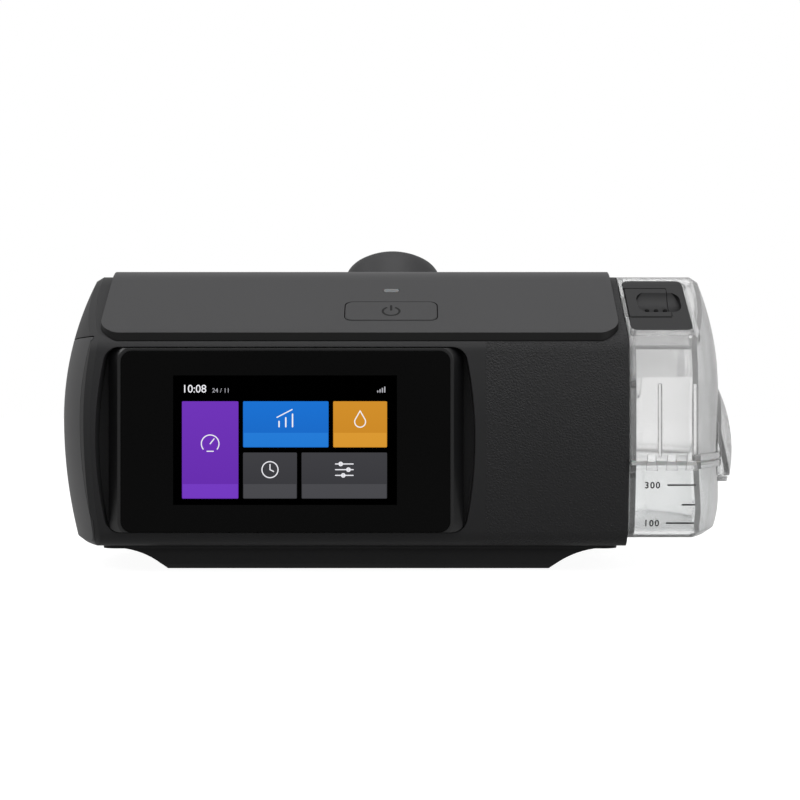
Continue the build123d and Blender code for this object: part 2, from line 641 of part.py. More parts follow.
# ---------------------------------------------------------------- filter cover and intake
DOOR_LEFT = END_WALL_X - SEAT
door_region = block(-FAR, DOOR_LEFT, -DOOR_HALF_DEPTH, DOOR_HALF_DEPTH, -FAR, DOOR_TOP_Z)
door_hollow = block(
    -FAR, FAR, -DOOR_HALF_DEPTH + DOOR_RIM, DOOR_HALF_DEPTH - DOOR_RIM, -FAR, DOOR_TOP_Z - DOOR_RIM
)
door = (HOUSING & door_region) - (HOUSING_HOLLOW & door_hollow)
for i in range(SLOT_COUNT):
    slot = Pos(-FAR / 2 + DOOR_LEFT, SLOT_FIRST_Y + i * SLOT_PITCH, FILTER_CENTRE_Z)
    door -= slot * Rot(0, 90, 0) * extrude(SlotOverall(SLOT_HEIGHT, SLOT_WIDTH), amount=FAR / 4, both=True)
PARTS["filter_cover"] = door

FRAME_WALL = 1.6
FILTER_BACK_X = END_WALL_X + 0.5 + FILTER_THICKNESS
filter_frame = block(
    END_WALL_X + WALL + SEAT,
    FILTER_BACK_X + 2.2,
    FILTER_Y - filter_hole / 2 - FRAME_WALL,
    FILTER_Y + filter_hole / 2 + FRAME_WALL,
    FILTER_CENTRE_Z - filter_hole / 2 - FRAME_WALL,
    FILTER_CENTRE_Z + filter_hole / 2 + FRAME_WALL,
)
filter_frame -= Pos(END_WALL_X, FILTER_Y, FILTER_CENTRE_Z) * Box(
    2 * (FILTER_BACK_X + SEAT - END_WALL_X), filter_hole, filter_hole
)
GRID_COUNT = 4
GRID_CELL = 9.2
GRID_PITCH = 11.0
for i in range(GRID_COUNT):
    for j in range(GRID_COUNT):
        y = FILTER_Y + (i - (GRID_COUNT - 1) / 2) * GRID_PITCH
        z = FILTER_CENTRE_Z + (j - (GRID_COUNT - 1) / 2) * GRID_PITCH
        filter_frame -= Pos(FILTER_BACK_X, y, z) * Box(12.0, GRID_CELL, GRID_CELL)
PARTS["filter_frame"] = filter_frame
PARTS["air_filter"] = Pos(END_WALL_X + 0.5 + FILTER_THICKNESS / 2, FILTER_Y, FILTER_CENTRE_Z) * Box(
    FILTER_THICKNESS, FILTER_SIZE, FILTER_SIZE
)

# Intake muffler: an upright box behind the filter that reaches over the blower's inlet.
MUFFLER_LEFT = FILTER_BACK_X + 2.2 + SEAT
MUFFLER_BEND_X = -88.0
MUFFLER_RIGHT = -20.0
MUFFLER_LOW = 26.0
MUFFLER_STEP = 60.0
MUFFLER_TOP = 82.0
MUFFLER_WALL = 1.6


def muffler_form(inset):
    upright_box = block(
        MUFFLER_LEFT + inset,
        MUFFLER_BEND_X - inset,
        10.0 + inset,
        62.0 - inset,
        MUFFLER_LOW + inset,
        MUFFLER_TOP - inset,
    )
    level_box = block(
        MUFFLER_LEFT + inset,
        MUFFLER_RIGHT - inset,
        -16.0 + inset,
        26.0 - inset,
        MUFFLER_STEP + inset,
        MUFFLER_TOP - inset,
    )
    return upright_box + level_box


INLET_RADIUS = 11.0
muffler = fillet(muffler_form(0.0).edges().filter_by(Axis.Z), 3.0) - muffler_form(MUFFLER_WALL)
muffler -= Pos(MUFFLER_LEFT, FILTER_Y, FILTER_CENTRE_Z) * Box(8.0, 42.0, 42.0)
muffler -= Pos(BLOWER_X, BLOWER_Y, MUFFLER_STEP) * Cylinder(INLET_RADIUS + 2.0, 8.0)
PARTS["intake_muffler"] = muffler
foam = muffler_form(MUFFLER_WALL + SEAT) - muffler_form(MUFFLER_WALL + 5.0)
foam -= Pos(MUFFLER_LEFT, FILTER_Y, FILTER_CENTRE_Z) * Box(24.0, 38.0, 38.0)
foam -= Pos(BLOWER_X, BLOWER_Y, MUFFLER_STEP) * Cylinder(INLET_RADIUS + 3.0, 24.0)
PARTS["muffler_foam"] = foam

# ---------------------------------------------------------------- blower
def about_blower(shape):
    return Pos(BLOWER_X, BLOWER_Y, 0) * shape


mount_ring = Pos(0, 0, MOUNT_Z) * extrude(Circle(21.0) - Circle(14.0), amount=MOUNT_HEIGHT)
mount_ring = chamfer(mount_ring.edges().filter_by(GeomType.CIRCLE), 1.0)
PARTS["blower_mount"] = about_blower(mount_ring)

plate_z = MOUNT_Z + MOUNT_HEIGHT + 0.05
plate_top = plate_z + MOTOR_PLATE
BEARING_RADIUS = 3.6
POST_CIRCLE = 22.0
VOLUTE_START = IMPELLER_RADIUS + 3.0  # inner radius of the spiral at its tongue
motor_plate = tube((0, 0, plate_z), (0, 0, 1), MOTOR_PLATE, POST_CIRCLE + 3.0)
motor_plate += tube((0, 0, plate_z), (0, 0, 1), MOTOR_PLATE + MOTOR_HEIGHT - 1.2, BEARING_RADIUS)
for i in range(3):
    angle = math.radians(60 + 120 * i)
    spot = (POST_CIRCLE * math.cos(angle), POST_CIRCLE * math.sin(angle), plate_z)
    motor_plate += tube(spot, (0, 0, 1), VOLUTE_FLOOR_Z - plate_z - SEAT, 2.2)
motor_plate -= Cylinder(SHAFT_RADIUS + RUNNING, 200.0)
PARTS["motor_plate"] = about_blower(motor_plate)

STATOR_TEETH = 9
stator = tube((0, 0, plate_top + 1.5), (0, 0, 1), MOTOR_HEIGHT - 4.0, 14.2, BEARING_RADIUS + 0.05)
for i in range(STATOR_TEETH):
    gap_cut = Pos(11.4, 0, 0) * Box(8.0, 2.2, 200.0)
    stator -= Rot(0, 0, 360 / STATOR_TEETH * i) * gap_cut
PARTS["motor_stator"] = about_blower(stator)

cup_top = plate_top + MOTOR_HEIGHT + 1.4
rotor = tube((0, 0, plate_top + 1.0), (0, 0, 1), MOTOR_HEIGHT - 0.5, MOTOR_RADIUS, MOTOR_RADIUS - 3.0)
rotor += tube((0, 0, cup_top - 1.8), (0, 0, 1), 1.8, MOTOR_RADIUS)
impeller_z = VOLUTE_FLOOR_Z + VOLUTE_WALL + 1.6
shaft_low = plate_z + 0.4
rotor += tube((0, 0, shaft_low), (0, 0, 1), impeller_z + 4.0 - shaft_low, SHAFT_RADIUS)
PARTS["motor_rotor"] = about_blower(rotor)

impeller = tube((0, 0, impeller_z), (0, 0, 1), 1.2, IMPELLER_RADIUS)
hub = tube((0, 0, impeller_z), (0, 0, 1), 6.0, 5.0)
impeller += chamfer(hub.edges().sort_by(Axis.Z)[-1], 1.5)
for i in range(IMPELLER_BLADES):
    inner, outer = (10.0, 0.0), (IMPELLER_RADIUS * math.cos(0.62), IMPELLER_RADIUS * math.sin(0.62))
    arc = ThreePointArc(inner, (18.2, 4.0), outer)
    blade = extrude(trace(arc, BLADE_THICKNESS), amount=IMPELLER_HEIGHT)
    impeller += Rot(0, 0, 360 / IMPELLER_BLADES * i) * Pos(0, 0, impeller_z + 0.6) * blade
impeller &= tube((0, 0, impeller_z), (0, 0, 1), 20.0, IMPELLER_RADIUS)
impeller -= tube((0, 0, impeller_z - 1.0), (0, 0, 1), 5.1, SHAFT_RADIUS + 0.02)
PARTS["impeller"] = about_blower(impeller)


def spiral(extra, arcs=4):
    """The spiral casing's outline; it opens out from the tongue and leaves towards +X at its front."""

    def at(share):
        angle = math.radians(-60 - 300 * share)
        radius = VOLUTE_START + VOLUTE_GROWTH * share + extra
        return (radius * math.cos(angle), radius * math.sin(angle))

    curve = [ThreePointArc(at(i / arcs), at((i + 0.5) / arcs), at((i + 1) / arcs)) for i in range(arcs)]
    return make_face([*curve, Line(at(1.0), at(0.0))])


OUTLET_HALF = 8.6  # half the outlet channel's width and height
OUTLET_Y = -30.0
OUTLET_LENGTH = 46.0
outlet_z = VOLUTE_FLOOR_Z + VOLUTE_HEIGHT / 2
volute_top = VOLUTE_FLOOR_Z + VOLUTE_HEIGHT


def spiral_form(extra, low, high):
    casing = Pos(0, 0, low) * extrude(spiral(extra), amount=high - low)
    channel = block(
        0.0, OUTLET_LENGTH + extra, OUTLET_Y - OUTLET_HALF - extra, OUTLET_Y + OUTLET_HALF + extra, low, high
    )
    return casing + channel


volute = spiral_form(VOLUTE_WALL, VOLUTE_FLOOR_Z, volute_top)
volute -= spiral_form(0.0, VOLUTE_FLOOR_Z + VOLUTE_WALL, volute_top + 1.0)
volute -= Cylinder(8.0, 200.0)
OUTLET_PORT_X = OUTLET_LENGTH + VOLUTE_WALL
volute -= tube((OUTLET_LENGTH - 1.0, OUTLET_Y, outlet_z), (1, 0, 0), 8.0, PORT_RADIUS - 1.2)
PARTS["blower_casing"] = about_blower(volute)

lid_z = volute_top + 0.1
INLET_TOP = MUFFLER_STEP - 0.4
blower_lid = spiral_form(VOLUTE_WALL, lid_z, lid_z + 1.8)
blower_lid += tube((0, 0, lid_z), (0, 0, 1), INLET_TOP - lid_z, INLET_RADIUS + 1.8)
blower_lid -= Cylinder(INLET_RADIUS, 300.0)
PARTS["blower_lid"] = about_blower(blower_lid)


# ---------------------------------------------------------------- air ducts
DUCT_HALF = 8.0  # half the inner width of a duct's square run
CUFF = 6.0


def duct(start, start_way, bends, end, end_way):
    """A moulded duct: a square run through its bends, with a round cuff at both ends."""
    a = Vector(*start) + Vector(*start_way) * CUFF
    b = Vector(*end) - Vector(*end_way) * CUFF
    run = Polyline([a, *bends, b])
    square = Plane(origin=a, z_dir=Vector(*start_way), x_dir=(0, 1, 0))
    side = 2 * (DUCT_HALF + DUCT_WALL)
    skin = sweep(square * Rectangle(side, side), path=run, transition=Transition.RIGHT)
    bore = sweep(square * Rectangle(2 * DUCT_HALF, 2 * DUCT_HALF), path=run, transition=Transition.RIGHT)
    for point, way in ((start, start_way), (tuple(b), end_way)):
        skin += tube(point, way, CUFF, PORT_RADIUS + DUCT_WALL)
        bore += tube(point, way, CUFF, PORT_RADIUS)
    return skin - bore


duct_end_x = FRAME_LEFT_X - SEAT
outlet_start = (BLOWER_X + OUTLET_PORT_X + SEAT, BLOWER_Y + OUTLET_Y, outlet_z)
supply_bends = [(outlet_start[0] + 14.0, outlet_start[1], outlet_z), (HEEL_LEFT_X + 6.0, *SUPPLY_PORT)]
PARTS["supply_duct"] = duct(outlet_start, (1, 0, 0), supply_bends, (duct_end_x, *SUPPLY_PORT), (1, 0, 0))
out_way = tuple(ELBOW_PLANE.z_dir)
seat_low = tuple(ELBOW_PLANE.origin - ELBOW_PLANE.z_dir * (SEAT_DEPTH + SEAT))
under_seat = ELBOW_PLANE.origin - ELBOW_PLANE.z_dir * (SEAT_DEPTH + CUFF + 13.0)
return_bends = [(ELBOW_X + 24.0, *RETURN_PORT), tuple(under_seat)]
PARTS["return_duct"] = duct((duct_end_x, *RETURN_PORT), (-1, 0, 0), return_bends, seat_low, out_way)

# ---------------------------------------------------------------- hose elbow on the rear slope
seat_ring = extrude(
    Pos(0, 0, -SEAT_DEPTH) * (Circle(SEAT_RADIUS) - Circle(ELBOW_SPIGOT_RADIUS + RUNNING)),
    amount=SEAT_DEPTH + COVER_THICKNESS,
)
seat_floor = extrude(Pos(0, 0, -SEAT_DEPTH) * (Circle(SEAT_RADIUS) - Circle(PORT_RADIUS)), amount=1.6)
seat_flange = extrude(
    Pos(0, 0, -WALL - 1.8) * (Circle(SEAT_RADIUS + 2.4) - Circle(SEAT_RADIUS - 2.0)), amount=1.6
)
seat_flange = (ELBOW_PLANE * seat_flange) & housing_envelope(WALL + SEAT)
PARTS["elbow_seat"] = ELBOW_PLANE * (seat_ring + seat_floor) + seat_flange

ELBOW_LOW = COVER_THICKNESS + 0.3
SPIGOT_LOW = -SEAT_DEPTH + 1.9
SEAL_LOW = -4.0
SEAL_HEIGHT = 2.0
SEAL_DEPTH = 1.5
DOME_STEPS = 4


def dome(inset, low):
    """The elbow's rounded cap, turned about its swivel axis, or its hollow if inset is the wall."""
    radius = ELBOW_DOME_RADIUS - inset
    half_angle = math.asin((ELBOW_RADIUS - inset) / radius)
    centre_z = ELBOW_HEIGHT - ELBOW_DOME_RADIUS
    crown = []
    for i in range(DOME_STEPS + 1):
        angle = half_angle * i / DOME_STEPS
        crown.append((radius * math.sin(angle), centre_z + radius * math.cos(angle)))
    profile = Plane.XZ * make_face(Polyline((0, low), *crown, (ELBOW_RADIUS - inset, low), close=True))
    return revolve(profile, axis=Axis.Z)


elbow = dome(0.0, ELBOW_LOW)
elbow += extrude(Pos(0, 0, SPIGOT_LOW) * Circle(ELBOW_SPIGOT_RADIUS), amount=ELBOW_LOW + 1.0 - SPIGOT_LOW)
hose_way = (0, 1, 0)
hose_start = (0, 0, HOSE_AXIS_HEIGHT)
collar = tube(hose_start, hose_way, HOSE_COLLAR_END, HOSE_COLLAR_RADIUS)
collar = chamfer(collar.edges().sort_by(Axis.Y)[-1], 0.8)
cone_end = HOSE_COLLAR_END + HOSE_CONE_LENGTH
cone = tube(hose_start, hose_way, cone_end, HOSE_CONE_RADIUS)
cone = chamfer(cone.edges().sort_by(Axis.Y)[-1], 0.6)
elbow += collar + cone
elbow -= dome(ELBOW_WALL, ELBOW_LOW + ELBOW_WALL)
elbow -= extrude(
    Pos(0, 0, SPIGOT_LOW - 1.0) * Circle(ELBOW_SPIGOT_RADIUS - ELBOW_WALL),
    amount=ELBOW_LOW + 5.0 - SPIGOT_LOW,
)
elbow -= tube(hose_start, hose_way, cone_end + 1.0, HOSE_BORE_RADIUS)
elbow -= tube((0, 0, SEAL_LOW), (0, 0, 1), SEAL_HEIGHT, FAR, ELBOW_SPIGOT_RADIUS - SEAL_DEPTH)
PARTS["outlet_elbow"] = ELBOW_PLANE * elbow
elbow_seal = tube(
    (0, 0, SEAL_LOW + 0.1),
    (0, 0, 1),
    SEAL_HEIGHT - 0.2,
    ELBOW_SPIGOT_RADIUS,
    ELBOW_SPIGOT_RADIUS - SEAL_DEPTH + 0.05,
)
PARTS["elbow_seal"] = ELBOW_PLANE * elbow_seal

# ---------------------------------------------------------------- rear sockets
socket_back = HALF_DEPTH - 15.0
socket_face = face_reach(POWER_Z) - 0.3
socket = tube((POWER_X, socket_back, POWER_Z), (0, 1, 0), socket_face - socket_back, 5.6)
socket += block(POWER_X - 7.0, POWER_X + 7.0, socket_back, HALF_DEPTH - 6.0, POWER_Z - 7.0, POWER_Z + 7.0)
socket -= tube((POWER_X, socket_face - POWER_BORE_DEPTH, POWER_Z), (0, 1, 0), 20.0, POWER_BORE_RADIUS)
socket += tube((POWER_X, socket_back + 1.0, POWER_Z), (0, 1, 0), socket_face - socket_back - 3.0, 0.9)
PARTS["power_socket"] = socket

reader_back = HALF_DEPTH - 34.0
reader_front = HALF_DEPTH - 6.0
card_middle = CARD_LOW_Z + CARD_HEIGHT / 2
reader = block(
    CARD_X - CARD_WIDTH / 2 - 2.0,
    CARD_X + CARD_WIDTH / 2 + 2.0,
    reader_back,
    HALF_DEPTH - 2.9,
    CARD_LOW_Z - 1.4,
    CARD_LOW_Z + CARD_HEIGHT + 1.4,
)
reader -= block(
    CARD_X - CARD_WIDTH / 2, CARD_X + CARD_WIDTH / 2, reader_front, FAR, CARD_LOW_Z, CARD_LOW_Z + CARD_HEIGHT
)
reader -= block(CARD_X - 12.3, CARD_X + 12.3, reader_back + 3.0, FAR, card_middle - 1.3, card_middle + 1.3)
PARTS["card_reader"] = reader

flap = HOUSING - HOUSING_HOLLOW
flap &= block(
    CARD_X - CARD_WIDTH / 2 + GAP / 2,
    CARD_X + CARD_WIDTH / 2 - GAP / 2,
    HALF_DEPTH - FLAP_THICKNESS - 0.3,
    FAR,
    FLAP_AXIS_Z,
    CARD_LOW_Z + CARD_HEIGHT - GAP,
)
knuckle_radius = FLAP_THICKNESS / 2 + 0.2
flap += tube(
    (CARD_X - CARD_WIDTH / 2 + GAP / 2, FLAP_AXIS_Y, FLAP_AXIS_Z), (1, 0, 0), CARD_WIDTH - GAP, knuckle_radius
)
flap += tube(
    (CARD_X - CARD_WIDTH / 2 - FLAP_PIN_REACH + 0.2, FLAP_AXIS_Y, FLAP_AXIS_Z),
    (1, 0, 0),
    CARD_WIDTH + 2 * FLAP_PIN_REACH - 0.4,
    FLAP_PIN_RADIUS,
)
flap -= block(CARD_X - 5.0, CARD_X + 5.0, HALF_DEPTH - 0.9, FAR, CARD_LOW_Z + 10.4, CARD_LOW_Z + 12.0)
PARTS["card_flap"] = flap

# ---------------------------------------------------------------- docking frame and heater
# The frame closes the housing's right end and carries the bay for the heated end of the tub.
BAY_CLEARANCE = 0.6
BAY_WALL = 1.8
bay_left = HEEL_LEFT_X - 1.0
bay_half = HEEL_HALF_DEPTH + BAY_CLEARANCE
bay_low = HEEL_BOTTOM - GAP
bay_high = HEEL_TOP + BAY_CLEARANCE
frame = extrude(
    Plane((FRAME_LEFT_X, 0, 0), x_dir=(0, 1, 0), z_dir=(1, 0, 0)) * end_section(HOUSING_BOTTOM, WALL + SEAT),
    amount=RIGHT_FACE_X - FRAME_LEFT_X,
)
BAY_FLOOR_Z = HOUSING_BOTTOM + WALL + 0.1
frame += block(
    bay_left - BAY_WALL,
    RIGHT_FACE_X - 1.0,
    -bay_half - BAY_WALL,
    bay_half + BAY_WALL,
    BAY_FLOOR_Z,
    bay_high + BAY_WALL,
)
frame -= block(bay_left, FAR, -bay_half, bay_half, bay_low, bay_high)

HEATER_LEFT_X = 51.0
HEATER_RIGHT_X = 83.0
HEATER_HALF_DEPTH = 43.0
frame -= block(
    HEATER_LEFT_X, HEATER_RIGHT_X, -HEATER_HALF_DEPTH, HEATER_HALF_DEPTH, BAY_FLOOR_Z - 1.0, bay_low + 1.0
)
for y, z in (SUPPLY_PORT, RETURN_PORT):
    frame -= tube((FRAME_LEFT_X - 1.0, y, z), (1, 0, 0), 20.0, PORT_RADIUS)
    frame -= tube((RIGHT_FACE_X - GASKET_HEIGHT, y, z), (1, 0, 0), 20.0, GASKET_RADIUS + SEAT)
for y, z in FRAME_SCREWS:
    frame -= tube((FRAME_LEFT_X - 1.0, y, z), (1, 0, 0), 20.0, SCREW_RADIUS + SEAT)
    frame -= tube((RIGHT_FACE_X - SCREW_HEAD_HEIGHT - 0.2, y, z), (1, 0, 0), 20.0, SCREW_HEAD_RADIUS + 0.3)

# Blind catch for the latch's hook, cut into the frame where the tongue ends.
tongue_middle = (TONGUE_LOW + TONGUE_HIGH) / 2
CATCH_HALF_WIDTH = 6.0
CATCH_DEPTH = 4.6  # under the slope's surface
catch = FRONT_SLOPE * (
    Pos(RIGHT_FACE_X, tongue_middle, -CATCH_DEPTH) * Box(5.0, 2 * CATCH_HALF_WIDTH + 1.0, 3.0)
)
frame -= catch
PARTS["docking_frame"] = frame

frame_screws = Part()
for y, z in FRAME_SCREWS:
    frame_screws += screw((RIGHT_FACE_X - SCREW_HEAD_HEIGHT - 0.2 + 0.05, y, z), (-1, 0, 0), 12.0)
PARTS["frame_screws"] = frame_screws

gaskets = Part()
for y, z in (SUPPLY_PORT, RETURN_PORT):
    gaskets += tube(
        (RIGHT_FACE_X - GASKET_HEIGHT + 0.05, y, z),
        (1, 0, 0),
        GASKET_HEIGHT + 0.25,
        GASKET_RADIUS,
        PORT_RADIUS,
    )
PARTS["port_gaskets"] = gaskets

heater = block(
    HEATER_LEFT_X + SEAT,
    HEATER_RIGHT_X - SEAT,
    -HEATER_HALF_DEPTH + SEAT,
    HEATER_HALF_DEPTH - SEAT,
    bay_low - 1.9,
    bay_low + 0.2,
)
PARTS["heater_plate"] = fillet(heater.edges().filter_by(Axis.Z), 3.0)

# Flat heating element: a film with a raised winding track, under the plate.
film_z = BAY_FLOOR_Z + 0.1
track_z = bay_low - 1.9 - 0.1
element = block(
    HEATER_LEFT_X + 2.0,
    HEATER_RIGHT_X - 2.0,
    -HEATER_HALF_DEPTH + 2.0,
    HEATER_HALF_DEPTH - 2.0,
    film_z,
    film_z + 0.5,
)
TRACK_RUNS = 7
TRACK_PITCH = 11.6
for i in range(TRACK_RUNS):
    y = (i - (TRACK_RUNS - 1) / 2) * TRACK_PITCH
    element += block(HEATER_LEFT_X + 4.0, HEATER_RIGHT_X - 4.0, y - 1.6, y + 1.6, film_z + 0.4, track_z)
    if i < TRACK_RUNS - 1:
        side = HEATER_RIGHT_X - 7.2 if i % 2 else HEATER_LEFT_X + 4.0
        element += block(side, side + 3.2, y, y + TRACK_PITCH, film_z + 0.4, track_z)
PARTS["heater_element"] = element

# ---------------------------------------------------------------- water tub
CHAMBER_RIM = chamber_envelope(-RIM_PROUD)
SEAL_OUTSIDE = chamber_envelope(0.6)
SEAL_INSIDE = chamber_envelope(0.6 + SEAL_WIDTH)
SEAL_GROOVE_DEPTH = 1.2
HINGE_Z = SEAM_Z + SEAM_GAP / 2
lid_low = SEAM_Z + SEAM_GAP


def between(low, high):
    return block(-FAR, FAR, -FAR, FAR, low, high)


def knuckles(ranges, radius):
    """Hinge barrels on the rear of the seam, one for each range of x."""
    shape = Part()
    for x0, x1 in ranges:
        shape += tube((x0, HINGE_Y, HINGE_Z), (1, 0, 0), x1 - x0, radius)
    return shape


KNUCKLE_GAP = 0.3
tub_ranges = [
    (HINGE_FIRST_X, HINGE_FIRST_X + HINGE_TUB_KNUCKLE),
    (HINGE_LAST_X - HINGE_TUB_KNUCKLE, HINGE_LAST_X),
]
lid_range = (tub_ranges[0][1] + KNUCKLE_GAP, tub_ranges[1][0] - KNUCKLE_GAP)
RIM_NOTCH_Y = HINGE_Y - HINGE_RADIUS - 0.4


def knuckle_arms(ranges, low, high):
    """Webs that join the hinge barrels to a rim."""
    shape = Part()
    for x0, x1 in ranges:
        shape += block(x0, x1, RIM_NOTCH_Y - 1.5, HINGE_Y, low, high)
    return shape


def rim_notches(ranges, low, high):
    """Clearance in a rim for the other half's hinge barrels."""
    shape = Part()
    for x0, x1 in ranges:
        shape += block(x0 - KNUCKLE_GAP, x1 + KNUCKLE_GAP, RIM_NOTCH_Y, FAR, low, high)
    return shape


tub = (CHAMBER - CHAMBER_HOLLOW) & between(-FAR, SEAM_Z)
tub += (CHAMBER_RIM - CHAMBER_HOLLOW) & between(SEAM_Z - RIM_HEIGHT, SEAM_Z)
heel = block(
    HEEL_LEFT_X, CHAMBER_LEFT_X + WALL, -HEEL_HALF_DEPTH, HEEL_HALF_DEPTH, HEEL_BOTTOM, HEEL_TOP
)
heel = fillet([e for e in heel.edges() if e.center().X < HEEL_LEFT_X + 1.0], 2.5)
tub += heel
heel_hollow = block(
    HEEL_LEFT_X + WALL,
    CHAMBER_LEFT_X + WALL + 1.0,
    -HEEL_HALF_DEPTH + WALL,
    HEEL_HALF_DEPTH - WALL,
    HEEL_BOTTOM + WALL,
    HEEL_TOP - WALL,
)
tub -= heel_hollow
PLATE_OPENING = (HEEL_LEFT_X + WALL + 2.0, CHAMBER_LEFT_X - 5.0, HEEL_HALF_DEPTH - 8.0)
PLATE_LIP = 1.6
tub -= block(
    PLATE_OPENING[0],
    PLATE_OPENING[1],
    -PLATE_OPENING[2],
    PLATE_OPENING[2],
    HEEL_BOTTOM - 1.0,
    HEEL_BOTTOM + WALL + 1.0,
)
tub -= rim_notches([lid_range], SEAM_Z - 6.0, FAR)
tub += knuckles(tub_ranges, HINGE_RADIUS) + knuckle_arms(tub_ranges, HINGE_Z - HINGE_RADIUS, SEAM_Z)
tub -= knuckles([(HINGE_FIRST_X - 1.0, HINGE_LAST_X + 1.0)], HINGE_PIN_RADIUS + 0.03)
tub -= (SEAL_OUTSIDE - SEAL_INSIDE) & between(SEAM_Z - SEAL_GROOVE_DEPTH, SEAM_Z + 1.0)


def grip_form(inset):
    """The bulge of the finger grip on the chamber's right end."""
    return barrel(
        1,
        GRIP_APEX_X,
        GRIP_APEX_Z,
        GRIP_APEX_Z,
        GRIP_CURVE,
        GRIP_CURVE,
        GRIP_PLAN_RADIUS,
        inset,
        (30.0, 84.0),
    )


LEDGE_THICKNESS = 1.6
LEDGE_HALF_WIDTH = 16.0
ledge_top = GRIP_BOTTOM_Z - GAP
ledge = grip_form(0.6) & block(
    120.0, FAR, -LEDGE_HALF_WIDTH, LEDGE_HALF_WIDTH, ledge_top - LEDGE_THICKNESS, ledge_top
)
catch_block = block(135.8, 137.6, -4.0, 4.0, ledge_top - 1.0, ledge_top + 5.0)
tub += (ledge + catch_block) - CHAMBER_HOLLOW
PARTS["water_tub"] = tub

plate_floor = block(
    PLATE_OPENING[0] + SEAT,
    PLATE_OPENING[1] - SEAT,
    -PLATE_OPENING[2] + SEAT,
    PLATE_OPENING[2] - SEAT,
    HEEL_BOTTOM,
    HEEL_BOTTOM + HEAT_PLATE_THICKNESS + 0.1,
)
plate_floor = fillet(plate_floor.edges().filter_by(Axis.Z), 0.6)
plate_lip = block(
    PLATE_OPENING[0] - PLATE_LIP,
    PLATE_OPENING[1] + PLATE_LIP,
    -PLATE_OPENING[2] - PLATE_LIP,
    PLATE_OPENING[2] + PLATE_LIP,
    HEEL_BOTTOM + HEAT_PLATE_THICKNESS + 0.05,
    HEEL_BOTTOM + HEAT_PLATE_THICKNESS + 1.0,
)
PARTS["tub_heat_plate"] = plate_floor + plate_lip
PARTS["tub_seal"] = (chamber_envelope(0.65) - chamber_envelope(0.55 + SEAL_WIDTH)) & between(
    SEAM_Z - SEAL_GROOVE_DEPTH + 0.05, lid_low - 0.05
)

# ---------------------------------------------------------------- chamber lid
lid = (CHAMBER - CHAMBER_HOLLOW) & between(lid_low, FAR)
lid += (CHAMBER_RIM - CHAMBER_HOLLOW) & between(lid_low, lid_low + RIM_HEIGHT)

grip_outline = Plane((0, 0, 0), x_dir=(0, 1, 0), z_dir=(1, 0, 0)) * (
    Pos(0, GRIP_BOTTOM_Z + GRIP_CORNER)
    * RectangleRounded(2 * GRIP_HALF_WIDTH, 2 * GRIP_CORNER, GRIP_CORNER - 0.01)
    + Pos(0, GRIP_BOTTOM_Z + GRIP_CORNER + 25.0) * Rectangle(2 * GRIP_HALF_WIDTH, 50.0)
)
grip = grip_form(0.0) - grip_form(GRIP_WALL)
grip &= block(126.0, FAR, -FAR, FAR, GRIP_BOTTOM_Z, GRIP_TOP_Z)
grip &= extrude(grip_outline, amount=FAR)
lid += grip - CHAMBER_HOLLOW

# Where the domed end meets the front face.
front_corner_x = CHAMBER_APEX_X - END_PLAN_RADIUS + math.sqrt(END_PLAN_RADIUS**2 - HALF_DEPTH**2)
CLIPS = [front_corner_x - reach for reach in (17.1, 9.4, 1.8)]
CLIP_TOP_HALF = 1.5
CLIP_LOW_HALF = 2.3
CLIP_THICKNESS = 1.2
rim_front = -face_reach(SEAM_Z) - RIM_PROUD
for x in CLIPS:
    tab = make_face(
        Polyline(
            (x - CLIP_TOP_HALF, lid_low + RIM_HEIGHT),
            (x + CLIP_TOP_HALF, lid_low + RIM_HEIGHT),
            (x + CLIP_LOW_HALF, SEAM_Z - RIM_HEIGHT - 0.6),
            (x - CLIP_LOW_HALF, SEAM_Z - RIM_HEIGHT - 0.6),
            close=True,
        )
    )
    lid += front_slab(tab, rim_front - 0.2 - CLIP_THICKNESS, rim_front - 0.2)
    lid += block(
        x - CLIP_TOP_HALF,
        x + CLIP_TOP_HALF,
        rim_front - 0.5,
        rim_front + 1.0,
        lid_low + 0.2,
        lid_low + RIM_HEIGHT,
    )

RIBS = [front_corner_x - reach for reach in (13.3, 0.3)]
for x in RIBS:
    lid += CHAMBER_HOLLOW & block(x - 0.6, x + 0.6, -FAR, -HALF_DEPTH + 6.0, 46.0, 73.7)

COLLAR_LENGTH = 6.0
COLLAR_WALL = 1.4
for y, z in (SUPPLY_PORT, RETURN_PORT):
    lid += tube((CHAMBER_LEFT_X + 1.0, y, z), (1, 0, 0), COLLAR_LENGTH, PORT_RADIUS + COLLAR_WALL)
    lid -= tube((CHAMBER_LEFT_X - 1.0, y, z), (1, 0, 0), COLLAR_LENGTH + 3.0, PORT_RADIUS)

lid -= rim_notches(tub_ranges, -FAR, SEAM_Z + 6.0)
lid += knuckles([lid_range], HINGE_RADIUS)
lid += knuckle_arms([lid_range], lid_low, HINGE_Z + HINGE_RADIUS)
lid -= knuckles([(HINGE_FIRST_X - 1.0, HINGE_LAST_X + 1.0)], HINGE_PIN_RADIUS + RUNNING)


def latch_region(grow, low, high):
    """The latch's outline on the slope, grown by a margin, between two heights over the slope."""
    width = LATCH_RIGHT_X - LATCH_LEFT_X + 2 * grow
    height = LATCH_HIGH - LATCH_LOW + 2 * grow
    shape = slope_rectangle(
        (LATCH_LEFT_X + LATCH_RIGHT_X) / 2, (LATCH_LOW + LATCH_HIGH) / 2, width, height, LATCH_CORNER + grow
    )
    return on_slope(shape, low, high)


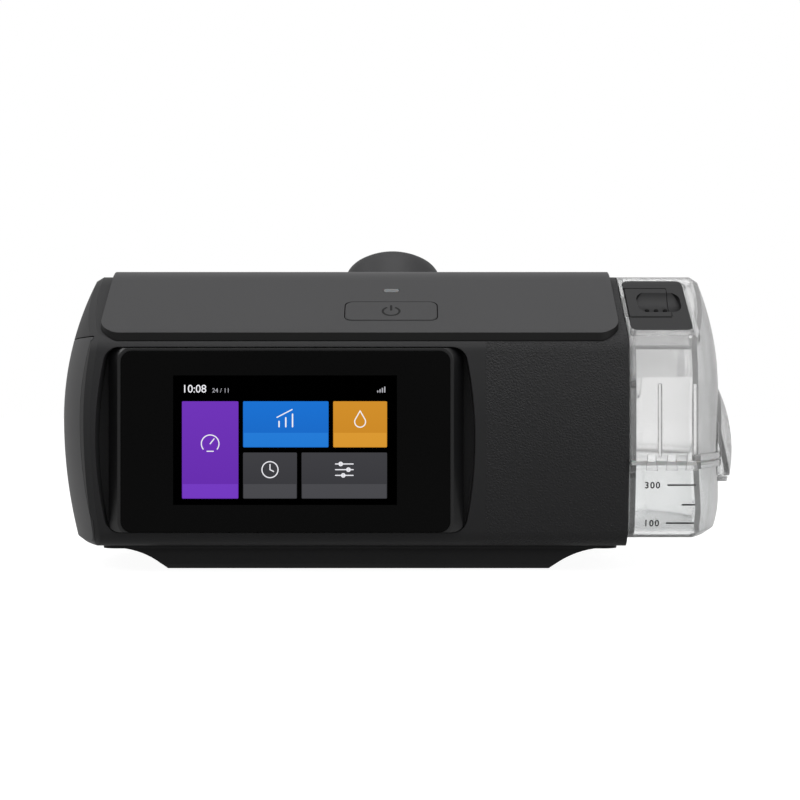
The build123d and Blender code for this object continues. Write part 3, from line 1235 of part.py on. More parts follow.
LATCH_WALL = 1.5
latch_box = latch_region(LATCH_WALL + SEAT, -LATCH_DEPTH - LATCH_WALL, 10.0)
lid += (CHAMBER & latch_box) & between(lid_low + 5.0, FAR)
lid -= latch_region(SEAT, -LATCH_DEPTH, 10.0)
nose_window = FRONT_SLOPE * (
    Pos(CHAMBER_LEFT_X + 0.6, tongue_middle, -TONGUE_DEPTH + 0.15) * Box(3.6, 2 * CATCH_HALF_WIDTH + 1.0, 3.9)
)
lid -= nose_window
PARTS["chamber_lid"] = lid

HINGE_PIN_OVER = 1.2
pin = tube(
    (HINGE_FIRST_X - HINGE_PIN_OVER, HINGE_Y, HINGE_Z),
    (1, 0, 0),
    HINGE_LAST_X - HINGE_FIRST_X + 2 * HINGE_PIN_OVER,
    HINGE_PIN_RADIUS,
)
PARTS["lid_hinge_pin"] = chamfer(pin.edges().filter_by(GeomType.CIRCLE), 0.3)

# Air guide inside the lid: a hood over the supply port that turns the air down to the water.
supply_y, supply_z = SUPPLY_PORT
HOOD_LENGTH = 26.0
HOOD_RADIUS = PORT_RADIUS + COLLAR_WALL + SEAT
hood_start = CHAMBER_LEFT_X + WALL + 0.3
hood = tube((hood_start, supply_y, supply_z), (1, 0, 0), HOOD_LENGTH, HOOD_RADIUS + 1.4, HOOD_RADIUS)
hood += tube((hood_start + HOOD_LENGTH - 1.4, supply_y, supply_z), (1, 0, 0), 1.4, HOOD_RADIUS + 1.4)
hood -= block(hood_start + 7.0, FAR, -FAR, FAR, -FAR, supply_z - 3.0)
PARTS["air_guide"] = hood

# ---------------------------------------------------------------- release latch
tongue_cut = slope_rectangle(
    (TONGUE_RIGHT_X + LATCH_LEFT_X - 20.0) / 2,
    tongue_middle,
    TONGUE_RIGHT_X - LATCH_LEFT_X + 20.0,
    TONGUE_HIGH - TONGUE_LOW + 2 * 0.5,
    0.6,
)
scoop_radius = (SCOOP_HALF_WIDTH**2 + SCOOP_DEPTH**2) / (2 * SCOOP_DEPTH)
scoop_axis = Pos(SCOOP_X, tongue_middle, scoop_radius - SCOOP_DEPTH) * Rot(0, 90, 0)
scoop_bar = scoop_axis * Cylinder(scoop_radius, 40.0)
scoop_ends = slope_rectangle(
    SCOOP_X, tongue_middle, 2 * SCOOP_HALF_LENGTH, 2 * SCOOP_HALF_WIDTH + 2.0, SCOOP_HALF_WIDTH - 1.5
)
scoop = (FRONT_SLOPE * scoop_bar) & on_slope(scoop_ends, -SCOOP_DEPTH - 1.0, 6.0)
latch_skin = CHAMBER - chamber_envelope(LATCH_SKIN)
latch_plate = latch_skin & latch_region(0.0, -3.2, 10.0)
skirt = latch_region(0.0, -LATCH_DEPTH + 0.1, -1.0) - latch_region(-1.4, -LATCH_DEPTH - 1.0, 0.0)
latch_plate += skirt & CHAMBER
cheek_x0, cheek_x1 = PIVOT_X - 6.0, LATCH_RIGHT_X - 0.5
for y0, y1 in ((TONGUE_LOW - 2.6, TONGUE_LOW - 0.5), (TONGUE_HIGH + 0.5, TONGUE_HIGH + 2.6)):
    cheek = Pos((cheek_x0 + cheek_x1) / 2, (y0 + y1) / 2) * Rectangle(cheek_x1 - cheek_x0, y1 - y0)
    latch_plate += on_slope(cheek, -LATCH_DEPTH + 0.1, -1.0)
pad = slope_rectangle((TONGUE_RIGHT_X + 114.0) / 2, tongue_middle, 114.0 - TONGUE_RIGHT_X, 22.0, 0.4)
latch_plate += on_slope(pad, -TONGUE_DEPTH, -1.0)
latch_plate -= on_slope(tongue_cut, -20.0, 10.0)
latch_plate -= scoop
pivot = FRONT_SLOPE * (
    Pos(PIVOT_X, tongue_middle, -PIVOT_DEPTH) * Rot(90, 0, 0) * Cylinder(PIVOT_RADIUS + RUNNING, 26.6)
)
latch_plate -= pivot
PARTS["latch_plate"] = latch_plate

TONGUE_GAP = 0.2
TONGUE_LEFT_X = LATCH_LEFT_X + 0.4  # leaves room for the free end's swing
tongue_shape = slope_rectangle(
    (TONGUE_RIGHT_X - TONGUE_GAP + TONGUE_LEFT_X) / 2,
    tongue_middle,
    TONGUE_RIGHT_X - TONGUE_GAP - TONGUE_LEFT_X,
    TONGUE_HIGH - TONGUE_LOW,
    0.5,
)
tongue = on_slope(tongue_shape, -TONGUE_DEPTH, 5.0) & CHAMBER
tongue -= scoop
tongue += FRONT_SLOPE * (
    Pos(PIVOT_X, tongue_middle, -PIVOT_DEPTH) * Rot(90, 0, 0) * Cylinder(PIVOT_RADIUS, 26.0)
)
nose = Pos(LATCH_LEFT_X - 0.5, tongue_middle, -TONGUE_DEPTH + 0.9) * Box(2.8, 2 * CATCH_HALF_WIDTH, 1.8)
tongue += FRONT_SLOPE * nose
PARTS["latch_tongue"] = tongue

# ---------------------------------------------------------------- placing and export
# The origin goes to the bottom centre of the whole object.
boxes = [shape.bounding_box() for shape in PARTS.values()]
left_x, right_x = min(box.min.X for box in boxes), max(box.max.X for box in boxes)
front_y, rear_y = min(box.min.Y for box in boxes), max(box.max.Y for box in boxes)
SHIFT = (-(left_x + right_x) / 2, -(front_y + rear_y) / 2, -min(box.min.Z for box in boxes))

os.makedirs("parts", exist_ok=True)
for name, shape in PARTS.items():
    export_step(Pos(*SHIFT) * shape, f"parts/{name}.step")
print(len(PARTS), "pieces, moved by", SHIFT)
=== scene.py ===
"""Looks of a bedside breathing machine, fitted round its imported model, in metres and in the model's frame."""
import math

import bmesh
import bpy
from mathutils import Matrix, Vector


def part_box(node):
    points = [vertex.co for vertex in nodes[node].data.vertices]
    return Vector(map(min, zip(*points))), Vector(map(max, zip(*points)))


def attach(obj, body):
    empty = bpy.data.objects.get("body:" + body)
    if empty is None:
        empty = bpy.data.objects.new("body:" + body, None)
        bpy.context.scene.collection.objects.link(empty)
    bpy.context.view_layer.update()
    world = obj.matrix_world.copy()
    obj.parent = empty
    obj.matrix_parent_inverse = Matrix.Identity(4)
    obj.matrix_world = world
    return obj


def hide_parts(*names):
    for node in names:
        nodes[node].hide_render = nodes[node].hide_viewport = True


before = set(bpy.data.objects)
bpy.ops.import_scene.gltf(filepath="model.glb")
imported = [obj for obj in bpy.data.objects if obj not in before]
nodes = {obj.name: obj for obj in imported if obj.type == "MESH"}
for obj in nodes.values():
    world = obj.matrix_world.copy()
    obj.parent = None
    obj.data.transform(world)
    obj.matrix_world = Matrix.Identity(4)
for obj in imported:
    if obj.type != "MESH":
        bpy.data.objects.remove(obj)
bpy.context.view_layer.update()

MM = 0.001


# ---- Base tray, feet and base screws ---------------------------------------------------------------------
# The tray is injection-moulded ABS in charcoal, with the fine matt spark texture of its mould. Four black
# silicone feet are pressed into its underside, and zinc-plated screws hold it to the housing.
ABS_IOR = 1.53
MATT_GLOSS = 0.2  # specular level of the etched surfaces, chosen
TOOL_LINE = 0.3 * MM  # spacing of the lines in worked metal, wide enough to show


def linear(hex_colour):
    """An sRGB hex colour as the linear colour that a socket takes."""
    channels = [int(hex_colour[i : i + 2], 16) / 255 for i in (1, 3, 5)]
    return (*(c / 12.92 if c <= 0.04045 else ((c + 0.055) / 1.055) ** 2.4 for c in channels), 1.0)


def add(tree, kind, inputs=None, **settings):
    """Adds a node with its settings, and sets its inputs or links them to other nodes' outputs."""
    node = tree.nodes.new(kind)
    for name, value in settings.items():
        setattr(node, name, value)
    for name, value in (inputs or {}).items():
        if isinstance(value, bpy.types.NodeSocket):
            tree.links.new(value, node.inputs[name])
        else:
            node.inputs[name].default_value = value
    return node


def start_material(name, **shader_inputs):
    """An empty material with its shader, and the coordinates that its patterns are laid out in."""
    material = bpy.data.materials.new(name)
    material.use_nodes = True
    tree = material.node_tree
    tree.nodes.clear()
    inputs = {key.replace("_", " "): value for key, value in shader_inputs.items()}
    shader = add(tree, "ShaderNodeBsdfPrincipled", inputs)
    add(tree, "ShaderNodeOutputMaterial", {"Surface": shader.outputs[0]})
    return material, tree, shader, add(tree, "ShaderNodeTexCoord").outputs["Object"]


def clouded_colour(tree, place, shader, dark, light, cloud_mm):
    """Sets the shader's colour to a slow drift between two shades, as pigment and handling leave it."""
    cloud = add(tree, "ShaderNodeTexNoise", {"Vector": place, "Scale": 1 / (cloud_mm * MM), "Detail": 4.0})
    shade = add(
        tree, "ShaderNodeMix", {0: cloud.outputs[0], 6: linear(dark), 7: linear(light)}, data_type="RGBA"
    )
    tree.links.new(shade.outputs[2], shader.inputs["Base Color"])
    return cloud.outputs[0]


def spread_roughness(tree, source, shader, low, high):
    """Sets the shader's roughness between two values, as a pattern goes from 0 to 1."""
    spread = add(tree, "ShaderNodeMapRange", {0: source, 3: low, 4: high})
    tree.links.new(spread.outputs[0], shader.inputs["Roughness"])


def raise_surface(tree, shader, height, depth_mm, edge_mm=0.25):
    """Embosses a pattern on the surface, whose sharp edges are broken as a mould or a tool breaks them."""
    edge = add(tree, "ShaderNodeBevel", {"Radius": edge_mm * MM}, samples=4)
    bump = add(
        tree, "ShaderNodeBump", {"Height": height, "Distance": depth_mm * MM, "Normal": edge.outputs[0]}
    )
    tree.links.new(bump.outputs[0], shader.inputs["Normal"])


def moulded_plastic(name, dark, light, low_roughness, high_roughness, pit_mm=0.45, pit_depth_mm=0.03):
    """ABS from a spark-eroded mould: an even matt grain of small pits, a little glossier where handled."""
    material, tree, shader, place = start_material(name, IOR=ABS_IOR, Specular_IOR_Level=MATT_GLOSS)
    cloud = clouded_colour(tree, place, shader, dark, light, cloud_mm=38)
    spread_roughness(tree, cloud, shader, low_roughness, high_roughness)
    grain = add(tree, "ShaderNodeTexNoise", {"Vector": place, "Scale": 1 / (pit_mm * MM), "Detail": 3.0})
    raise_surface(tree, shader, grain.outputs[0], pit_depth_mm)
    return material


def silicone(name, dark, light, roughness, subsurface=0.0):
    """Moulded silicone rubber: soft sheen, faint flow marks and fine dust in its skin."""
    material, tree, shader, place = start_material(
        name, IOR=1.43, Subsurface_Weight=subsurface, Subsurface_Scale=1.5 * MM, Sheen_Weight=0.15
    )
    cloud = clouded_colour(tree, place, shader, dark, light, cloud_mm=9)
    spread_roughness(tree, cloud, shader, roughness - 0.06, roughness + 0.06)
    dust = add(tree, "ShaderNodeTexNoise", {"Vector": place, "Scale": 1 / (0.6 * MM), "Detail": 5.0})
    raise_surface(tree, shader, dust.outputs[0], depth_mm=0.02)
    return material


def worked_metal(name, dark, light, roughness, stretch=(1, 1, 1)):
    """Bare metal: fine tool lines along the axis that is stretched least, and slow stains in its colour."""
    material, tree, shader, place = start_material(name, Metallic=1.0)
    cloud = clouded_colour(tree, place, shader, dark, light, cloud_mm=7)
    spread_roughness(tree, cloud, shader, roughness - 0.05, roughness + 0.08)
    along = add(tree, "ShaderNodeMapping", {"Vector": place, "Scale": stretch})
    lines = add(
        tree, "ShaderNodeTexNoise", {"Vector": along.outputs[0], "Scale": 1 / TOOL_LINE, "Detail": 2.0}
    )
    raise_surface(tree, shader, lines.outputs[0], depth_mm=0.008, edge_mm=0.15)
    return material


def finish_node(name, material):
    """Puts a material on every slot of a piece that keeps its own shape."""
    slots = nodes[name].data.materials
    slots.clear()
    slots.append(material)


base_plastic = moulded_plastic("charcoal_abs_spark", "#19191a", "#1f1f20", 0.5, 0.62)
foot_rubber = silicone("black_silicone", "#131313", "#1d1d1e", roughness=0.62)
screw_zinc = worked_metal("zinc_plated_steel", "#a9adb0", "#c9ccce", roughness=0.3)
finish_node("base_tray", base_plastic)
finish_node("rubber_feet", foot_rubber)
finish_node("base_screws", screw_zinc)


# ---- Main housing and top cover --------------------------------------------------------------------------
# A barrel-shaped moulding in charcoal ABS. Most of it has a fine leather grain etched in the mould, and the
# front round the display is left smooth, up to a faint upright line. The cover on top is satin grey ABS.
GRAIN_EDGE_X = 33.2 * MM  # where the smooth surround of the display ends and the grain begins
GRAIN_EDGE_SOFTNESS = 0.4 * MM
LEATHER_CELL = 1.15 * MM  # coarser than the real grain, so that it shows


def leather_grained_plastic():
    """ABS with an etched leather grain: flat pebbles between shallow creases, which catch the light."""
    material, tree, shader, place = start_material(
        "charcoal_abs_leather_grain", IOR=ABS_IOR, Specular_IOR_Level=MATT_GLOSS
    )
    cloud = clouded_colour(tree, place, shader, "#202021", "#272728", cloud_mm=45)
    warp = add(tree, "ShaderNodeTexNoise", {"Vector": place, "Scale": 0.7 / LEATHER_CELL, "Detail": 2.0})
    bend = add(
        tree, "ShaderNodeVectorMath", {0: warp.outputs["Color"], 1: (LEATHER_CELL,) * 3}, operation="MULTIPLY"
    )
    bent = add(tree, "ShaderNodeVectorMath", {0: place, 1: bend.outputs[0]}, operation="ADD")
    creases = add(
        tree,
        "ShaderNodeTexVoronoi",
        {"Vector": bent.outputs[0], "Scale": 1 / LEATHER_CELL},
        feature="DISTANCE_TO_EDGE",
    )
    pebbles = add(tree, "ShaderNodeMapRange", {0: creases.outputs["Distance"], 1: 0.0, 2: 0.3})
    across = add(tree, "ShaderNodeSeparateXYZ", {0: place})
    smooth_to, grained_from = GRAIN_EDGE_X - GRAIN_EDGE_SOFTNESS, GRAIN_EDGE_X + GRAIN_EDGE_SOFTNESS
    grained = add(tree, "ShaderNodeMapRange", {0: across.outputs["X"], 1: smooth_to, 2: grained_from})
    height = add(tree, "ShaderNodeMath", {0: pebbles.outputs[0], 1: grained.outputs[0]}, operation="MULTIPLY")
    spread_roughness(tree, cloud, shader, 0.5, 0.6)
    raise_surface(tree, shader, height.outputs[0], depth_mm=0.16, edge_mm=0.5)
    return material


leather_plastic = leather_grained_plastic()
cover_plastic = moulded_plastic(
    "grey_abs_satin", "#343435", "#39393a", 0.44, 0.52, pit_mm=0.3, pit_depth_mm=0.01
)


def cover_plastic_with_painted_rim_shadow():
    """The cover's grey ABS with painted shadow: its rim is painted black for the shade in the gap under its
    edge, and only what faces up is grey.
    """
    material = cover_plastic.copy()
    material.name = "grey_abs_satin_painted_rim_shadow"
    tree = material.node_tree
    shader = next(node for node in tree.nodes if node.type == "BSDF_PRINCIPLED")
    grey = shader.inputs["Base Color"].links[0].from_socket
    facing = add(tree, "ShaderNodeSeparateXYZ", {0: add(tree, "ShaderNodeNewGeometry").outputs["Normal"]})
    upward = add(tree, "ShaderNodeMapRange", {0: facing.outputs["Z"], 1: 0.3, 2: 0.6})
    # Painted shadow: faces that turn down or sideways are painted near-black, for the shade in the gap under
    # the cover's edge.
    shade = add(
        tree, "ShaderNodeMix", {0: upward.outputs[0], 6: linear("#080808"), 7: grey}, data_type="RGBA"
    )
    tree.links.new(shade.outputs[2], shader.inputs["Base Color"])
    return material


finish_node("main_housing", leather_plastic)
finish_node("card_flap", leather_plastic)
finish_node("top_cover", cover_plastic_with_painted_rim_shadow())
finish_node("filter_cover", cover_plastic)
finish_node("elbow_seal", foot_rubber)
for name in ("elbow_seat", "docking_frame", "power_socket", "card_reader", "filter_frame"):
    finish_node(name, base_plastic)


# ---- Blower, ducts, filter and boards --------------------------------------------------------------------
# Inside the housing: natural white casings round a small motor on silicone mounts, silicone ducts to the
# ports, an open-cell foam in the intake muffler, a folded-fibre filter and green circuit boards.
def foam_pad(name, dark, light, cell_mm):
    """Open-cell foam or felted fibre: soft lighter threads, with painted shade in the dark pores between them.
    """
    material, tree, shader, place = start_material(name, Roughness=0.95, Sheen_Weight=0.3)
    pores = add(tree, "ShaderNodeTexVoronoi", {"Vector": place, "Scale": 1 / (cell_mm * MM)})
    # Painted shade: the colour is darkest in the middle of each pore, where shade falls in the hollows, and
    # lighter on the threads.
    shade = add(
        tree,
        "ShaderNodeMix",
        {0: pores.outputs["Distance"], 6: linear(dark), 7: linear(light)},
        data_type="RGBA",
    )
    tree.links.new(shade.outputs[2], shader.inputs["Base Color"])
    raise_surface(tree, shader, pores.outputs["Distance"], depth_mm=cell_mm / 3)
    return material


def circuit_board():
    """Glass-fibre board under green solder mask, with the copper tracks showing through as paler lines."""
    material, tree, shader, place = start_material("green_circuit_board", IOR=1.5)
    tracks = add(tree, "ShaderNodeTexBrick", {"Vector": place, "Scale": 1 / (9 * MM), "Mortar Size": 0.03})
    tracks.inputs["Color1"].default_value = linear("#0c4a2a")
    tracks.inputs["Color2"].default_value = linear("#0f5330")
    tracks.inputs["Mortar"].default_value = linear("#2a7a4c")
    tree.links.new(tracks.outputs["Color"], shader.inputs["Base Color"])
    spread_roughness(tree, tracks.outputs["Fac"], shader, 0.4, 0.3)
    raise_surface(tree, shader, tracks.outputs["Fac"], depth_mm=0.03)
    return material


natural_plastic = moulded_plastic("natural_white_abs", "#c9c7c0", "#d4d2cb", 0.42, 0.52)
duct_silicone = silicone("translucent_grey_silicone", "#8f9192", "#9c9e9f", roughness=0.5, subsurface=0.2)
white_silicone = silicone("milky_silicone", "#c4c6c6", "#d0d2d2", roughness=0.48, subsurface=0.25)
turned_steel = worked_metal("turned_steel", "#9b9b9c", "#b5b5b4", roughness=0.28, stretch=(1, 1, 6))
machined_aluminium = worked_metal(
    "machined_aluminium", "#b4b5b8", "#c8c9cb", roughness=0.32, stretch=(1, 8, 1)
)
motor_copper = worked_metal(
    "lacquered_copper_winding", "#8a4a26", "#b06a3a", roughness=0.3, stretch=(1, 1, 5)
)
intake_foam = foam_pad("charcoal_open_cell_foam", "#101011", "#3c3c3e", cell_mm=0.9)
filter_fibre = foam_pad("white_filter_fibre", "#b4b4ae", "#ecece6", cell_mm=0.5)
board_mask = circuit_board()
for name in ("impeller", "blower_casing", "blower_lid", "intake_muffler"):
    finish_node(name, natural_plastic)
for name in ("supply_duct", "return_duct", "blower_mount"):
    finish_node(name, duct_silicone)
for name in ("port_gaskets", "tub_seal"):
    finish_node(name, white_silicone)
finish_node("motor_rotor", turned_steel)
finish_node("motor_plate", machined_aluminium)
finish_node("motor_stator", motor_copper)
finish_node("muffler_foam", intake_foam)
finish_node("air_filter", filter_fibre)
finish_node("main_board", board_mask)
finish_node("button_switch", board_mask)
finish_node("frame_screws", screw_zinc)


# ---- Display ---------------------------------------------------------------------------------------------
# A colour display behind a pane of coated black glass, in a gloss black frame. Its lit picture is drawn as
# thin films on the pane: flat colour tiles with fine white signs, a clock and a signal strength on black.
GLASS_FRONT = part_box("display_glass")[0].y
FILM = 0.02 * MM  # thickness of each film on the pane
TILE_CORNER = 0.45 * MM
BAND_HEIGHT = 5.4 * MM  # the lighter band along each tile's lower edge
LINE = 0.42 * MM  # stroke of the signs
BOLD_LINE = 1.3 * LINE
SIGN_LAYER = 4  # the signs lie over the field, the tiles and their bands


def gloss_black(name, dark, light, roughness, reflection):
    """Black polished plastic or coated glass: deep black, with faint wiping marks in its gloss."""
    material, tree, shader, place = start_material(name, IOR=1.52, Specular_IOR_Level=reflection)
    cloud = clouded_colour(tree, place, shader, dark, light, cloud_mm=60)
    spread_roughness(tree, cloud, shader, roughness, roughness + 0.05)
    wipes = add(tree, "ShaderNodeTexNoise", {"Vector": place, "Scale": 1 / (12 * MM), "Detail": 3.0})
    raise_surface(tree, shader, wipes.outputs[0], depth_mm=0.004, edge_mm=0.3)
    return material


frame_gloss = gloss_black("satin_black_frame", "#101011", "#161617", roughness=0.3, reflection=0.35)
pane_glass = gloss_black("coated_black_glass", "#0b0b0b", "#0d0d0d", roughness=0.08, reflection=0.03)
module_film = gloss_black("display_film", "#000000", "#010101", roughness=0.12, reflection=0.0)
finish_node("display_bezel", frame_gloss)
finish_node("display_glass", pane_glass)
finish_node("display_module", module_film)


def lit_film(name, low, high, bottom_z, top_z):
    """Light from a stretch of the display: one colour that grows a little brighter towards its top."""
    material, tree, shader, place = start_material(name, Roughness=0.3, Specular_IOR_Level=0.1)
    shader.inputs["Base Color"].default_value = linear("#020202")
    height = add(tree, "ShaderNodeSeparateXYZ", {0: place})
    climb = add(tree, "ShaderNodeMapRange", {0: height.outputs["Z"], 1: bottom_z, 2: top_z})
    shade = add(
        tree, "ShaderNodeMix", {0: climb.outputs[0], 6: linear(low), 7: linear(high)}, data_type="RGBA"
    )
    tree.links.new(shade.outputs[2], shader.inputs["Emission Color"])
    shader.inputs["Emission Strength"].default_value = 1.0
    return material


def finish_piece(name, shape, material, body, slot, *replaced, smooth=False):
    """Makes a piece from a bmesh, with its material and the body it moves with; the slot argument is not used.
    """
    bmesh.ops.recalc_face_normals(shape, faces=shape.faces)
    for face in shape.faces:
        face.smooth = smooth
    mesh = bpy.data.meshes.new(name)
    shape.to_mesh(mesh)
    shape.free()
    mesh.materials.append(material)
    piece = bpy.data.objects.new(name, mesh)
    bpy.context.scene.collection.objects.link(piece)
    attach(piece, body)
    if replaced:
        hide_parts(*replaced)


def plate(shape, width, height, corner=0.0):
    """Adds a flat plate about the origin, in X and Y, with rounded corners, and returns its face."""
    verts = bmesh.ops.create_grid(shape, x_segments=1, y_segments=1, size=0.5)["verts"]
    bmesh.ops.scale(shape, verts=verts, vec=(width, height, 1))
    face = verts[0].link_faces[0]
    if corner:
        made = bmesh.ops.bevel(
            shape, geom=verts, affect="VERTICES", offset=corner, segments=5, profile=0.5, material=-1
        )
        face = max({f for v in made["verts"] for f in v.link_faces}, key=lambda f: f.calc_area())
    return face


def line(shape, start, end, width):
    """Adds a straight stroke in X and Y between two points."""
    run = Vector(end) - Vector(start)
    face = plate(shape, run.length + width, width, corner=0.48 * width)
    middle = (Vector(start) + Vector(end)) / 2
    turn = Matrix.Translation((*middle, 0)) @ Matrix.Rotation(math.atan2(run.y, run.x), 4, "Z")
    bmesh.ops.transform(shape, matrix=turn, verts=face.verts[:])


def arc(shape, centre, radius, width, first, last, steps=40):
    """Adds a curved stroke in X and Y about a centre, from one angle to another in degrees."""
    ends = [shape.verts.new((radius + side * width / 2, 0, 0)) for side in (-1, 1)]
    across = shape.edges.new(ends)
    start = Matrix.Translation((*centre, 0)) @ Matrix.Rotation(math.radians(first), 4, "Z")
    bmesh.ops.transform(shape, matrix=start, verts=ends)
    bmesh.ops.spin(
        shape,
        geom=[across, *ends],
        cent=(*centre, 0),
        axis=(0, 0, 1),
        angle=math.radians(last - first),
        steps=steps,
        use_merge=last - first >= 360,
    )


def thicken(shape, way):
    """Gives flat strokes and plates their thickness, along a vector."""
    made = bmesh.ops.extrude_face_region(shape, geom=shape.faces[:])
    pushed = [v for v in made["geom"] if isinstance(v, bmesh.types.BMVert)]
    bmesh.ops.translate(shape, verts=pushed, vec=way)


def thicken_and_place(shape, thickness, place):
    """Gives flat strokes and plates their thickness, away from +Z, and takes them to their place."""
    thicken(shape, (0, 0, -thickness))
    bmesh.ops.transform(shape, matrix=place, verts=shape.verts)


def on_pane(x, z, layer):
    """The place of a film on the display's pane, which faces -Y."""
    return Matrix.Translation((x, GLASS_FRONT - layer * FILM, z)) @ Matrix.Rotation(math.pi / 2, 4, "X")


FIELD = (-87.6, -1.2, 27.0, 77.0)  # left, right, low and high edge of the lit field, in millimetres
field = bmesh.new()
plate(field, (FIELD[1] - FIELD[0]) * MM, (FIELD[3] - FIELD[2]) * MM)
field_middle = ((FIELD[0] + FIELD[1]) / 2 * MM, (FIELD[2] + FIELD[3]) / 2 * MM)
thicken_and_place(field, FILM, on_pane(*field_middle, layer=1))
finish_piece("picture_field", field, module_film, "housing", "display_glass")
TILES = {  # left, right, low and high edge in millimetres; the tile's shades, and those of its lower band
    "violet": ((-84.2, -62.4, 29.4, 67.0), ("#6428ac", "#6e30b8"), ("#7236c0", "#7840c6")),
    "blue": ((-60.6, -27.6, 49.2, 67.0), ("#1066c4", "#1270d2"), ("#1c78d4", "#247edc")),
    "amber": ((-25.8, -5.0, 49.2, 67.0), ("#c98620", "#d18e26"), ("#d8962c", "#dd9c34")),
    "slate": ((-60.6, -39.8, 29.4, 47.2), ("#343438", "#3c3c40"), ("#46464a", "#4a4a4e")),
    "wide_slate": ((-38.0, -5.0, 29.4, 47.2), ("#343438", "#3c3c40"), ("#46464a", "#4a4a4e")),
}
for name, (edges, shades, band_shades) in TILES.items():
    left, right, low, high = (edge * MM for edge in edges)
    middle = (left + right) / 2
    tile = bmesh.new()
    plate(tile, right - left, high - low, TILE_CORNER)
    thicken_and_place(tile, FILM, on_pane(middle, (low + high) / 2, layer=2))
    tile_light = lit_film(f"lit_{name}", *shades, low, high)
    finish_piece(f"picture_{name}", tile, tile_light, "housing", "display_glass")
    band = bmesh.new()
    plate(band, right - left - TILE_CORNER, BAND_HEIGHT)
    thicken_and_place(band, FILM, on_pane(middle, low + BAND_HEIGHT / 2 + TILE_CORNER / 2, layer=3))
    band_light = lit_film(f"lit_{name}_band", *band_shades, low, high)
    finish_piece(f"picture_{name}_band", band, band_light, "housing", "display_glass")

white_light = lit_film("lit_white", "#e9e9ee", "#f6f6fa", FIELD[2] * MM, FIELD[3] * MM)
grey_light = lit_film("lit_grey", "#a2a2a8", "#acacb2", FIELD[2] * MM, FIELD[3] * MM)


def dial_sign(shape):
    """A gauge: an open ring with its hand."""
    arc(shape, (0, 0), 3.4 * MM, LINE, -40, 220)
    line(shape, (0, 0), (1.5 * MM, 1.9 * MM), LINE)
    line(shape, (-1.2 * MM, -2.9 * MM), (1.2 * MM, -2.9 * MM), LINE)


def steps_sign(shape):
    """Three columns that climb, under a slanting line."""
    for i, top in enumerate((-1.0, 0.4, 1.8)):
        across = 2.6 * (i - 1) * MM
        line(shape, (across, -3.0 * MM), (across, top * MM), BOLD_LINE)
    line(shape, (-3.4 * MM, 0.6 * MM), (2.4 * MM, 3.6 * MM), LINE)


def drop_sign(shape):
    """A water drop."""
    arc(shape, (0, -0.9 * MM), 2.1 * MM, LINE, -205, 25)
    for side in (-1, 1):
        line(shape, (side * 1.9 * MM, 0.0), (0, 3.3 * MM), LINE)


def clock_sign(shape):
    """A clock face with its two hands."""
    arc(shape, (0, 0), 3.1 * MM, LINE, 0, 360)
    line(shape, (0, 0), (0, 2.0 * MM), LINE)
    line(shape, (0, 0), (1.4 * MM, -0.7 * MM), LINE)


def sliders_sign(shape):
    """Three sliders, each a line with its knob."""
    for height, knob in ((2.2, -1.4), (0.0, 1.6), (-2.2, -0.4)):
        line(shape, (-3.4 * MM, height * MM), (3.4 * MM, height * MM), LINE)
        arc(shape, (knob * MM, height * MM), 0.62 * MM, BOLD_LINE, 0, 360, steps=20)


SIGNS = {  # how each sign is drawn, and where its middle is in X and Z, in millimetres
    "dial": (dial_sign, (-73.3, 50.6)),
    "steps": (steps_sign, (-44.1, 60.2)),
    "drop": (drop_sign, (-15.4, 60.0)),
    "clock": (clock_sign, (-50.2, 40.6)),
    "sliders": (sliders_sign, (-21.5, 40.6)),
}
for name, (draw, (x, z)) in SIGNS.items():
    sign = bmesh.new()
    draw(sign)
    thicken_and_place(sign, FILM, on_pane(x * MM, z * MM, SIGN_LAYER))
    finish_piece(f"picture_sign_{name}", sign, white_light, "housing", "display_glass")

SIGNAL_STEP = 0.9 * MM
SIGNAL_LINE = 0.5 * MM
signal = bmesh.new()
for i in range(4):
    line(signal, (SIGNAL_STEP * i, 0), (SIGNAL_STEP * i, (0.35 + 0.5 * i) * MM), SIGNAL_LINE)
thicken_and_place(signal, FILM, on_pane(-8.6 * MM, 70.6 * MM, SIGN_LAYER))
finish_piece("picture_signal", signal, grey_light, "housing", "display_glass")


NUMERAL_SHARE = 0.7  # a numeral's height as a share of the type size


def numeral_shape(text, height, spacing=1.0, weight=0.0):
    """Plain numerals as flat faces in X and Y, from the origin to the right; weight is in millimetres."""
    curve = bpy.data.curves.new("numerals", "FONT")
    curve.body = text
    curve.size = height / NUMERAL_SHARE
    curve.space_character = spacing
    curve.offset = weight * MM
    holder = bpy.data.objects.new("numerals", curve)
    bpy.context.scene.collection.objects.link(holder)
    shape = bmesh.new()
    drawn = bpy.data.meshes.new_from_object(holder)
    shape.from_mesh(drawn)
    bpy.data.objects.remove(holder)
    bpy.data.meshes.remove(drawn)
    bmesh.ops.remove_doubles(shape, verts=shape.verts, dist=0.001 * MM)
    return shape


for name, text, height, left, light in (
    ("clock", "10:08", 3.0, -84.2, white_light),
    ("date", "24 / 11", 1.7, -72.6, grey_light),
):
    digits = numeral_shape(text, height * MM)
    thicken_and_place(digits, FILM, on_pane(left * MM, 70.4 * MM, SIGN_LAYER))
    finish_piece(f"picture_{name}", digits, light, "housing", "display_glass")


# ---- Power button and indicator --------------------------------------------------------------------------
# The key is moulded in the same satin plastic as the cover, with the on/off sign printed in black, and rests
# on a small switch. The indicator is the tip of a diffusing light pipe.
SLOPE = math.radians(32.8)
SHOULDER_Y = -88.45 * MM
SHOULDER_Z = 91.0 * MM
KEY_PROUD = 2.42 * MM  # the key's face over the housing's slope
PRINT = 0.02 * MM
PRINT_LINE = 0.9 * MM


def on_slope(x, climb, proud):
    """A place on the front slope: climb runs up it from the shoulder, and Z points out of it."""
    shoulder = Matrix.Translation((0, SHOULDER_Y, SHOULDER_Z)) @ Matrix.Rotation(SLOPE, 4, "X")
    return shoulder @ Matrix.Translation((x, climb, proud))


